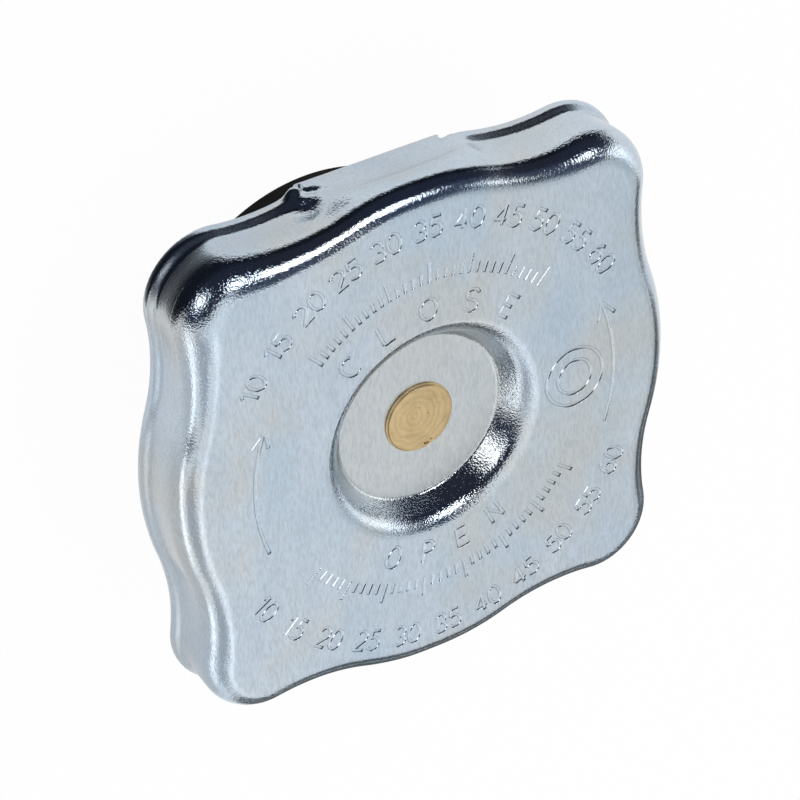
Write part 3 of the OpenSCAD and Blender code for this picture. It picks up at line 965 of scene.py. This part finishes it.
def spread(tree, value, low, high, to_low=0.0, to_high=1.0):
    """A value carried from one range to another, held at both ends."""
    inputs = {"Value": value, "From Min": low, "From Max": high, "To Min": to_low, "To Max": to_high}
    return add(tree, "ShaderNodeMapRange", inputs, clamp=True).outputs[0]


def blend(tree, amount, first, second):
    """A mix of two colours, each a socket or a tone."""
    first, second = (k if isinstance(k, bpy.types.NodeSocket) else (*k, 1.0) for k in (first, second))
    inputs = {0: amount, 6: first, 7: second}
    return add(tree, "ShaderNodeMix", inputs, data_type="RGBA").outputs[2]


def stained(tree, base, tone, clouds, levels, amount):
    """Blends a tone into a base where clouds of (scale, detail, roughness) pass the levels."""
    spots = cloud(tree, in_millimetres(tree), *clouds)
    return blend(tree, spread(tree, spots, *levels, 0.0, amount), base, tone)


def darker(tone, left):
    return tuple(k * left for k in tone)


def dress(tree, base, rough, height, depth, kind):
    """Joins a finish: its colour, its roughness, and a fine relief whose depth is in millimetres."""
    relief = add(tree, "ShaderNodeBump", {"Height": height, "Distance": depth * MM, "Strength": 1.0})
    inputs = {"Base Color": base, "Roughness": rough, "Normal": relief.outputs[0], **kind}
    shader = add(tree, "ShaderNodeBsdfPrincipled", inputs)
    add(tree, "ShaderNodeOutputMaterial", {"Surface": shader.outputs[0]})


def zinc_finish(f):
    """Bright zinc: a satin face with a fine grain and faint tints, mirror-like where it was drawn."""
    material, tree = blank_material("zinc cover")
    polish = add(tree, "ShaderNodeAttribute", attribute_name="polish").outputs["Fac"]
    place = in_millimetres(tree)
    tint = cloud(tree, in_millimetres(tree, (1.0, 0.4, 1.0)), 0.13, 4.0, 0.6)
    base = blend(tree, spread(tree, tint, 0.36, 0.66), f.zinc, f.zinc_blue)
    base = stained(tree, base, f.zinc_warm, (0.075, 3.0, 0.5), (0.48, 0.68), 0.75)
    base = blend(tree, spread(tree, from_axis(tree), 11.0, 13.0, 0.8, 0.0), base, f.zinc_dish)
    grain = cloud(tree, in_millimetres(tree, (3.8, 1.0, 3.8)), 1.0, 3.0, 0.65)
    base = blend(tree, spread(tree, grain, 0.40, 0.66, 0.0, 0.42), base, (0.42, 0.47, 0.52))
    base = stained(tree, base, (0.22, 0.24, 0.28), (2.6, 2.0, 0.7), (0.68, 0.75), 0.3)
    satin = spread(tree, grain, 0.3, 0.7, f.satin - 0.06, f.satin + 0.06)
    rough = mix_values(tree, polish, satin, f.mirror)
    flecks = maths(tree, "ADD", spread(tree, polish, 0.0, 1.0, 1.0, 3.0),
                   spread(tree, polish, 1.0, 2.0, 0.0, 9.0))
    sparkle = maths(tree, "MULTIPLY", cloud(tree, place, 4.4, 1.0), flecks)
    peel = maths(tree, "MULTIPLY_ADD", cloud(tree, place, 0.9, 2.0), 1.6, sparkle)
    uneven = maths(tree, "MULTIPLY_ADD", grain, 1.4, peel)
    dress(tree, base, rough, uneven, 0.007, METAL)
    return material


def metal_finish(name, tone, rough, grain_scale, worn=0.5):
    """Turned, pressed or drawn metal with a fine grain, faint stains and small pits."""
    material, tree = blank_material(name)
    base = stained(tree, tone, darker(tone, 0.62), (0.22, 4.0, 0.6), (0.42, 0.7), worn)
    base = stained(tree, base, darker(tone, 0.25), (3.2, 2.0, 0.7), (0.68, 0.75), 0.5)
    grain = cloud(tree, in_millimetres(tree, (1, 1, 4)), grain_scale, 4.0, 0.65)
    dress(tree, base, spread(tree, grain, 0.3, 0.7, rough - 0.07, rough + 0.09), grain, 0.006, METAL)
    return material


def rivet_finish(f):
    """Dull brass with the off-centre rings that the riveting tool left."""
    material, tree = blank_material("rivet brass")
    place = in_millimetres(tree)
    off = add(tree, "ShaderNodeMapping", {"Vector": place, "Location": (0.9, -0.5, 0)}).outputs[0]
    wave = {"Vector": off, "Scale": 0.42, "Distortion": 5.0, "Detail": 2.0, "Detail Scale": 1.4}
    rings = add(tree, "ShaderNodeTexWave", wave, wave_type="RINGS", rings_direction="Z").outputs["Fac"]
    base = stained(tree, f.brass, darker(f.brass, 0.66), (0.5, 3.0, 0.5), (0.38, 0.7), 0.55)
    base = stained(tree, base, (0.12, 0.08, 0.04), (2.4, 2.0, 0.7), (0.69, 0.74), 0.6)
    height = maths(tree, "MULTIPLY_ADD", rings, 0.6, cloud(tree, place, 2.0))
    dress(tree, base, spread(tree, rings, 0.0, 1.0, 0.32, 0.46), height, 0.02, METAL)
    return material


def rubber_finish(name, tone):
    """Moulded black rubber, dusty and slightly uneven."""
    material, tree = blank_material(name)
    base = stained(tree, tone, (0.014, 0.014, 0.014), (0.6, 5.0, 0.7), (0.5, 0.8), 0.4)
    skin = cloud(tree, in_millimetres(tree), 2.2, 4.0, 0.6)
    dress(tree, base, spread(tree, skin, 0.3, 0.7, 0.5, 0.68), skin, 0.02, RUBBER)
    return material


# Springs

WIRE_CREASE = 50
WIRE_SIDES = 18


def coil_tree(material):
    """Round wire wound in turns, with a closed turn at either end."""
    tree, sizes = new_geometry_tree("Coil", Radius=0.01, Wire=0.002, Turns=6.0, Steps=64.0, Low=0.0,
                                    Rise=0.01, Closed=0.2)
    spiral = add(tree, "GeometryNodeCurveSpiral", {
        "Resolution": sizes["Steps"], "Rotations": sizes["Turns"], "Start Radius": sizes["Radius"],
        "End Radius": sizes["Radius"], "Height": sizes["Rise"]})
    k = add(tree, "GeometryNodeSplineParameter").outputs["Factor"]
    eased = maths(tree, "MULTIPLY", maths(tree, "MULTIPLY", k, k),
                  maths(tree, "MULTIPLY_ADD", k, -2.0, 3.0))
    open_share = maths(tree, "SUBTRACT", 1.0, sizes["Closed"])
    climb = maths(tree, "ADD", maths(tree, "MULTIPLY", eased, open_share),
                  maths(tree, "MULTIPLY", k, sizes["Closed"]))
    height = maths(tree, "MULTIPLY_ADD", climb, sizes["Rise"], sizes["Low"])
    x, y, _ = position(tree)
    wound = put(tree, spiral.outputs[0], x, y, height)
    wire = add(tree, "GeometryNodeCurvePrimitiveCircle",
               {"Resolution": WIRE_SIDES, "Radius": maths(tree, "MULTIPLY", sizes["Wire"], 0.5)})
    sweep(tree, wound, wire.outputs[0], material)
    return tree


def wind(name, node, wire, turns, steps, tree):
    """A coil that fills the box of its node."""
    low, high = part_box(node)
    rise = high.z - low.z - wire
    obj = new_object(name, [(0, 0, 0)])
    grow(obj, tree, Radius=high.x - wire / 2, Wire=wire, Turns=turns, Steps=float(steps),
         Low=low.z + wire / 2, Rise=rise, Closed=(turns - 1) * wire / (turns * rise))
    shade(obj, WIRE_CREASE)
    return obj


# Operators, one for each group of pieces

class CAP_OT_cover(Operator):
    """Builds the stamped cover with its grips, dish, tabs and marks"""
    bl_idname = "radiator_cap.cover"
    bl_label = "Stamped Cover"

    def execute(self, context):
        c = context.scene.cap_cover
        cover = cover_mesh(c)
        face_outwards(cover)
        wander(cover, c)
        carve(cover, *relief_cutters(c), *mark_cutters(c, context.scene.cap_marks))
        shade(cover, COVER_CREASE)
        level_shading(cover, c)
        mark_polish(cover, c)
        finish_piece(cover, "cover", zinc_finish(context.scene.cap_finish))
        return {"FINISHED"}


class CAP_OT_rivet(Operator):
    """Builds the brass rivet in the dish and the washer under its formed head"""
    bl_idname = "radiator_cap.rivet"
    bl_label = "Rivet and Washer"

    def execute(self, context):
        f = context.scene.cap_finish
        low, high = box_mm("centre_rivet")
        washer_low, washer_high = box_mm("rivet_washer")
        seat = high.z - 0.5
        shank, formed, formed_end, step_r, crown_r = 3, 4.4, 3.2, 4.34, 4.28
        rivet = turned("brass_rivet", [
            (0, low.z, 0), (formed_end, low.z, 0.3), (formed, low.z + 0.7, 0.2), (formed, washer_low.z, 0),
            (shank, washer_low.z, 0), (shank, seat, 0), (high.x, seat, 0.04), (high.x, seat + 0.2, 0.08),
            (step_r, seat + 0.24, 0.05), (crown_r, high.z, 0.1), (0, high.z, 0)])
        turn = Matrix.Rotation(math.radians(-153), 4, "Z") @ Matrix.Scale(MM, 4)
        chip = [(0, 3.95), (0.5, 3.7), (0.75, 3.9), (1.15, 3.8), (1.7, 4.8), (0, 4.8)]
        pits = ((0.24, (0.35, 3.75)), (0.3, (0.95, 3.85)), (0.2, (1.2, 3.5)))
        over = high.z + 1
        cutters = [prism("chip", chip, high.z - 0.3, over, turn)]
        cutters += [prism("pit", circle(r, 9, at), high.z - 0.45, over, turn) for r, at in pits]
        carve(rivet, *cutters)
        shade(rivet)
        finish_piece(rivet, "centre_rivet", rivet_finish(f))
        washer = turned("steel_washer", [
            (shank, washer_low.z, 0), (washer_high.x, washer_low.z, 0.15),
            (washer_high.x, washer_high.z, 0.1), (shank, washer_high.z, 0)])
        shade(washer)
        finish_piece(washer, "rivet_washer", metal_finish("washer steel", f.steel, 0.36, 1.5))
        return {"FINISHED"}


class CAP_OT_neck_seal(Operator):
    """Builds the dished spring disc and the rubber ring under it"""
    bl_idname = "radiator_cap.neck_seal"
    bl_label = "Neck Seal"

    def execute(self, context):
        f = context.scene.cap_finish
        low, high = box_mm("spring_disc")
        thick, rubber, bore, cage_r, rim_r, bend = 0.3, 1.2, 3.05, 15.5, 24, 3
        disc = turned("disc_spring", [
            (bore, high.z - thick, 0.05), (cage_r, high.z - thick, bend), (rim_r, low.z, bend),
            (high.x, low.z, 0.12), (high.x, low.z + thick, 0.12), (rim_r, low.z + thick, bend),
            (cage_r, high.z, bend), (bore, high.z, 0.05)])
        shade(disc)
        finish_piece(disc, "spring_disc", metal_finish("disc steel", f.steel, 0.30, 1.8))
        low, high = box_mm("neck_gasket")
        hole = cage_r + 0.1
        gasket = turned("rubber_gasket", [
            (hole, high.z - rubber, 0.2), (rim_r, low.z, bend), (high.x, low.z, 0.3),
            (high.x, low.z + rubber, 0.2), (rim_r, low.z + rubber, bend), (hole, high.z, 0.15)])
        shade(gasket)
        finish_piece(gasket, "neck_gasket", rubber_finish("gasket rubber", f.rubber))
        return {"FINISHED"}


class CAP_OT_cage(Operator):
    """Builds the cage with four legs that holds the spring and the valve"""
    bl_idname = "radiator_cap.cage"
    bl_label = "Spring Cage"

    def execute(self, context):
        low, high = box_mm("spring_cage")
        thick, bore, lug_r, slot_half, slot_corner, band_h, legs = 0.8, 3.05, 11.9, 5.5, 1.6, 4, 4
        inner = high.x - thick
        cage = turned("leg_cage", [
            (bore, high.z - thick, 0.05), (inner, high.z - thick, 1.2), (inner, low.z + thick, 0.25),
            (lug_r, low.z + thick, 0.1), (lug_r, low.z, 0.1), (high.x, low.z, 0.9), (high.x, high.z, 2),
            (bore, high.z, 0.05)])
        top, under = high.z - band_h, low.z - 2
        window = rounded_section([(slot_half, top, slot_corner), (-slot_half, top, slot_corner),
                                  (-slot_half, under, 0), (slot_half, under, 0)])
        stand = Matrix(((0, 0, 1, 0), (1, 0, 0, 0), (0, 1, 0, 0), (0, 0, 0, 1)))
        cutters = []
        for i in range(legs):
            place = Matrix.Rotation(math.tau * (i + 0.5) / legs, 4, "Z") @ Matrix.Scale(MM, 4) @ stand
            cutters.append(prism("window", window, 4, high.x + 2, place))
        carve(cage, *cutters)
        shade(cage)
        finish = metal_finish("cage plating", context.scene.cap_finish.plated, 0.30, 1.2)
        finish_piece(cage, "spring_cage", finish)
        return {"FINISHED"}


class CAP_OT_springs(Operator):
    """Winds the pressure spring and the small vacuum spring"""
    bl_idname = "radiator_cap.springs"
    bl_label = "Springs"

    def execute(self, context):
        w = context.scene.cap_springs
        finish = metal_finish("spring wire", context.scene.cap_finish.steel, 0.26, 2.4)
        tree = coil_tree(finish)
        main = wind("main_coil", "pressure_spring", w.main_wire, w.main_turns, w.points_a_turn, tree)
        finish_piece(main, "pressure_spring", finish)
        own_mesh(main)
        small = wind("small_coil", "vacuum_spring", w.small_wire, w.small_turns, w.points_a_turn, tree)
        finish_piece(small, "vacuum_spring", finish)
        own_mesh(small)
        return {"FINISHED"}


def port_cutters(z):
    """Four round ports through the floor of cup and plate, in millimetres."""
    port_r, port_at, half = 1.1, 4.25, 2
    place = Matrix.Translation((0, 0, z * MM)) @ Matrix.Scale(MM, 4)
    return [prism("port", circle(port_r, 24, (port_at * x, port_at * y)), -half, half, place)
            for x, y in ((1, 0), (0, 1), (-1, 0), (0, -1))]


class CAP_OT_pressure_valve(Operator):
    """Builds the flanged cup, the plate under it and the rubber seal"""
    bl_idname = "radiator_cap.pressure_valve"
    bl_label = "Pressure Valve"

    def execute(self, context):
        f = context.scene.cap_finish
        low, high = box_mm("valve_carrier")
        thick, cup_r, bore = 0.8, 11.4, 1.55
        inner, flange = cup_r - thick, high.z - thick
        cup = turned("flanged_cup", [
            (bore, low.z, 0.05), (cup_r, low.z, 1.2), (cup_r, flange, 0.3), (high.x, flange, 0.1),
            (high.x, high.z, 0.1), (inner, high.z, 1.1), (inner, low.z + thick, 0.4),
            (bore, low.z + thick, 0.05)])
        carve(cup, *port_cutters(low.z))
        shade(cup)
        finish_piece(cup, "valve_carrier", metal_finish("cup plating", f.plated, 0.28, 1.4))
        low, high = box_mm("seal_plate")
        plate = turned("backing_plate", [
            (bore, low.z, 0.05), (high.x, low.z, 0.1), (high.x, high.z, 0.1), (bore, high.z, 0.05)])
        carve(plate, *port_cutters(low.z))
        shade(plate)
        finish_piece(plate, "seal_plate", metal_finish("plate plating", f.plated, 0.32, 1.0))
        edge, base, top = high.x, low.z, high.z
        low, high = box_mm("pressure_seal")
        hole, lip, groove, groove_w, groove_d = 7, edge - 2, 9.5, 0.8, 0.5
        groove_end, bed = groove + groove_w, low.z + groove_d
        seal = turned("rubber_seal", [
            (hole, low.z, 0.15), (groove, low.z, 0.12), (groove, bed, 0.1), (groove_end, bed, 0.1),
            (groove_end, low.z, 0.12), (high.x, low.z, 0.4), (high.x, high.z, 0.4), (lip, high.z, 0.25),
            (lip, top, 0), (edge, top, 0), (edge, base, 0), (hole, base, 0)])
        shade(seal)
        finish_piece(seal, "pressure_seal", rubber_finish("seal rubber", f.rubber))
        return {"FINISHED"}


class CAP_OT_vacuum_valve(Operator):
    """Builds the brass vacuum valve and the keeper on its stem"""
    bl_idname = "radiator_cap.vacuum_valve"
    bl_label = "Vacuum Valve"

    def execute(self, context):
        f = context.scene.cap_finish
        low, high = box_mm("vacuum_valve")
        keeper_low, keeper_high = box_mm("spring_keeper")
        seat = low.z + 1
        stem, knob, tip, steps = 1.5, 2.1, 1.4, 96
        valve = turned("brass_valve", [
            (0, low.z, 0), (high.x, low.z, 0.3), (high.x, seat, 0.12), (stem, seat, 0.1),
            (stem, keeper_high.z, 0), (knob, keeper_high.z, 0.1), (knob, high.z - 0.4, 0.2),
            (tip, high.z, 0.25), (0, high.z, 0)], steps)
        shade(valve)
        finish_piece(valve, "vacuum_valve", metal_finish("valve brass", f.valve_brass, 0.32, 1.1, 0.7))
        keeper = turned("stem_keeper", [
            (stem, keeper_low.z, 0), (keeper_high.x, keeper_low.z, 0.1), (keeper_high.x, keeper_high.z, 0.1),
            (stem, keeper_high.z, 0)], steps)
        shade(keeper)
        finish_piece(keeper, "spring_keeper", metal_finish("keeper steel", f.steel, 0.34, 1.6))
        return {"FINISHED"}


# Studio

FLOOR_HALF = 4.0
FLOOR_GAP = 0.05 * MM
CARD_GAP = 0.2 * MM
CARD_STEPS = 32
SENSOR_W = 36.0
BLACK = (0.024, 0.028, 0.046)
BLUE = (0.055, 0.07, 0.115)
GREY = (0.13, 0.14, 0.145)

# Inner radii in millimetres, at even steps of azimuth, of the dark card of painted shade in front of the cap
SHORE = (105, 103, 100, 97, 94, 86, 74, 56, 46, 44, 44, 44, 44, 46, 60)


def mirror_ray(tree):
    """1 for rays that metal or glass sends out, 0 for others."""
    path = add(tree, "ShaderNodeLightPath").outputs
    return maths(tree, "MAXIMUM", path["Is Glossy Ray"], path["Is Transmission Ray"])


def camera_ray(tree):
    return add(tree, "ShaderNodeLightPath").outputs["Is Camera Ray"]


def mix_shaders(tree, amount, first, second):
    inputs = {0: amount, 1: first.outputs[0], 2: second.outputs[0]}
    return add(tree, "ShaderNodeMixShader", inputs)


def make_floor(t):
    """A pale floor that is white but for the shadow on it, and clear from below."""
    z = FLOOR_Z - FLOOR_GAP
    corners = [(x * FLOOR_HALF, y * FLOOR_HALF, z) for x, y in ((-1, -1), (1, -1), (1, 1), (-1, 1))]
    floor = new_object("floor", corners, [(0, 1, 2, 3)])
    material, tree = blank_material("pale floor")
    pale = add(tree, "ShaderNodeBsdfDiffuse", {"Color": (0.9, 0.9, 0.9, 1)})
    white = add(tree, "ShaderNodeEmission", {"Strength": 1.0})
    amount = maths(tree, "MAXIMUM", maths(tree, "MULTIPLY", camera_ray(tree), t.white),
                   maths(tree, "MULTIPLY", mirror_ray(tree), t.mirrored))
    lit = mix_shaders(tree, amount, pale, white)
    behind = add(tree, "ShaderNodeNewGeometry").outputs["Backfacing"]
    both = mix_shaders(tree, behind, lit, add(tree, "ShaderNodeBsdfTransparent"))
    add(tree, "ShaderNodeOutputMaterial", {"Surface": both.outputs[0]})
    floor.data.materials.append(material)


def make_world(t):
    world = bpy.context.scene.world or bpy.data.worlds.new("studio")
    bpy.context.scene.world = world
    world.use_nodes = True
    tree = world.node_tree
    tree.nodes.clear()
    shown = maths(tree, "MAXIMUM", camera_ray(tree), mirror_ray(tree))
    strength = mix_values(tree, shown, t.sky, 1.0)
    sky = add(tree, "ShaderNodeBackground", {"Color": (1, 1, 1, 1), "Strength": strength})
    add(tree, "ShaderNodeOutputWorld", {"Surface": sky.outputs[0]})


def between(ends, k):
    return ends[0] + (ends[1] - ends[0]) * k


def towards(azimuth, height):
    """The way out from the cap at an azimuth and a height in degrees."""
    a, h = math.radians(azimuth), math.radians(height)
    return Vector((math.cos(h) * math.cos(a), math.cos(h) * math.sin(a), math.sin(h)))


def hung(azimuths, heights, radius):
    """Places a card on a sphere about the cap, between azimuths and heights in degrees."""
    def place(u, v):
        return towards(between(azimuths, u), between(heights, v)) * radius
    return place


def laid(azimuths, inner, outer):
    """Places a card just above the floor, from inner radii at even steps of azimuth to an outer one."""
    def place(u, v):
        near = np.interp(u, np.linspace(0, 1, len(inner)), inner) * MM
        far = near + (outer * MM - near) * v * v
        return (*polar(far, between(azimuths, u)), FLOOR_Z + CARD_GAP)
    return place


def make_card(name, place, tone, soft):
    """A studio card that only mirrors show, with borders that fade out over a share of each side."""
    shares = np.linspace(0, 1, CARD_STEPS + 1)
    points, cover = [], []
    for v in shares:
        for u in shares:
            points.append(place(u, v))
            border = min(min(u, 1 - u) / soft[0], min(v, 1 - v) / soft[1])
            cover.append(float(ease(border)))
    card = new_object(name, points, quads(np.arange(len(points)).reshape(len(shares), -1)))
    card.data.attributes.new("cover", "FLOAT", "POINT").data.foreach_set("value", cover)
    material, tree = blank_material(name)
    amount = add(tree, "ShaderNodeAttribute", attribute_name="cover").outputs["Fac"]
    plain = add(tree, "ShaderNodeEmission", {"Color": (*tone, 1), "Strength": 1.0})
    mixed = mix_shaders(tree, amount, add(tree, "ShaderNodeBsdfTransparent"), plain)
    add(tree, "ShaderNodeOutputMaterial", {"Surface": mixed.outputs[0]})
    card.data.materials.append(material)
    card.visible_camera = False
    card.visible_diffuse = False
    card.visible_shadow = False


def make_lamp(name, azimuth, height, distance, sides, power, mirrored):
    """A soft lamp that looks at the cap, and that metal may mirror. Angles in degrees."""
    lamp = bpy.data.lights.new(name, "AREA")
    lamp.shape = "RECTANGLE"
    lamp.size, lamp.size_y = sides
    lamp.energy = power
    obj = bpy.data.objects.new(name, lamp)
    way = towards(azimuth, height)
    obj.location = way * distance
    obj.rotation_euler = way.to_track_quat("Z", "Y").to_euler()
    obj.visible_glossy = mirrored
    bpy.context.scene.collection.objects.link(obj)


def make_camera(t):
    camera = bpy.data.cameras.new("camera")
    camera.lens = t.lens
    camera.sensor_width = SENSOR_W
    camera.clip_start = 0.01
    camera.dof.use_dof = False
    obj = bpy.data.objects.new("camera", camera)
    view = (Vector(t.aim) - Vector(t.camera_at)).normalized()
    turn = view.to_track_quat("-Z", "Y").to_matrix().to_4x4() @ Matrix.Rotation(t.roll, 4, "Z")
    obj.matrix_world = Matrix.Translation(t.camera_at) @ turn
    bpy.context.scene.collection.objects.link(obj)
    bpy.context.scene.camera = obj


class CAP_OT_stage(Operator):
    """Sets up the floor, the light and the camera"""
    bl_idname = "radiator_cap.stage"
    bl_label = "Studio"

    def execute(self, context):
        t = context.scene.cap_stage
        context.scene.view_settings.view_transform = "Standard"
        make_floor(t)
        make_world(t)
        make_card("camera side", hung((20, 200), (-14, 76), 2.5), BLACK, (0.08, 0.10))
        # Painted shade: a dark sheet on the floor in front of the cap, which only mirrors show
        make_card("camera side floor shade", laid((35, 175), SHORE, 3500), (0.01, 0.012, 0.018), (0.05, 0.045))
        make_card("overhead bar", hung((-24, 56), (46, 80), 2.4), BLUE, (0.15, 0.15))
        make_card("blue panel", hung((26, 56), (28, 52), 2.4), BLUE, (0.2, 0.12))
        make_card("right window", hung((-18, 27), (16, 47), 2.35), (1.8, 1.8, 1.8), (0.3, 0.15))
        make_card("far side", hung((-99, -22), (-2, 26), 2.4), GREY, (0.14, 0.2))
        # Painted shadow: a grey sheet on the floor beyond the cap, where its shadow falls, which only
        # mirrors show
        make_card("far side floor shadow", laid((-102, -26), (44, 44), 1200), GREY, (0.12, 0.1))
        make_card("left side", hung((-156, -102), (22, 52), 2.4), (0.55, 0.56, 0.58), (0.15, 0.15))
        make_card("left strip", hung((-172, -124), (-1, 15), 2.3), (1.7, 1.7, 1.7), (0.15, 0.3))
        make_card("left window", hung((-104, -66), (40, 64), 2.3), (1.35, 1.35, 1.35), (0.3, 0.3))
        # Painted shade: a grey sheet on the floor beside the cap, where the cap shades it, which only
        # mirrors show
        make_card("left side floor shade", laid((176, 250), (44, 44), 900), (0.70, 0.70, 0.70), (0.12, 0.1))
        make_card("ceiling", hung((-60, 16), (20, 68), 2.3), (0.62, 0.66, 0.67), (0.4, 0.35))
        make_card("lamp haze", hung((120, 186), (4, 54), 2.3), (0.035, 0.055, 0.13), (0.4, 0.4))
        make_card("front lamp", hung((132, 164), (11, 40), 2.2), (2.4, 2.4, 2.4), (0.22, 0.22))
        make_lamp("overhead softbox", 71, 51, 1.2, (0.50, 0.33), 2.2, True)
        make_lamp("side softbox", -60, 42, 1.5, (0.8, 0.8), 4.0, False)
        make_camera(t)
        return {"FINISHED"}


class CAP_PT_sidebar(Panel):
    """Lists the settings and the steps that build the cap"""
    bl_idname = "CAP_PT_sidebar"
    bl_label = "Radiator Cap"
    bl_space_type = "VIEW_3D"
    bl_region_type = "UI"
    bl_category = "Radiator Cap"

    def draw(self, context):
        for group in GROUPS:
            box = self.layout.box()
            box.label(text=group.replace("cap_", "").title())
            settings = getattr(context.scene, group)
            for name in settings.bl_rna.properties.keys():
                if name not in ("rna_type", "name"):
                    box.prop(settings, name)
        for step in STEPS:
            self.layout.operator(step.bl_idname)


GROUPS = {"cap_cover": CoverSizes, "cap_marks": MarkSizes, "cap_springs": SpringSizes,
          "cap_finish": FinishSettings, "cap_stage": StageSettings}
STEPS = (CAP_OT_cover, CAP_OT_rivet, CAP_OT_neck_seal, CAP_OT_cage, CAP_OT_springs, CAP_OT_pressure_valve,
         CAP_OT_vacuum_valve, CAP_OT_stage)


def register():
    for group, settings in GROUPS.items():
        bpy.utils.register_class(settings)
        setattr(bpy.types.Scene, group, PointerProperty(type=settings))
    for step in (*STEPS, CAP_PT_sidebar):
        bpy.utils.register_class(step)


def unregister():
    for step in (CAP_PT_sidebar, *reversed(STEPS)):
        bpy.utils.unregister_class(step)
    for group, settings in GROUPS.items():
        delattr(bpy.types.Scene, group)
        bpy.utils.unregister_class(settings)


def main():
    register()
    for step in STEPS:
        group, name = step.bl_idname.split(".")
        getattr(getattr(bpy.ops, group), name)()
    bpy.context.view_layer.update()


if __name__ == "__main__":
    main()
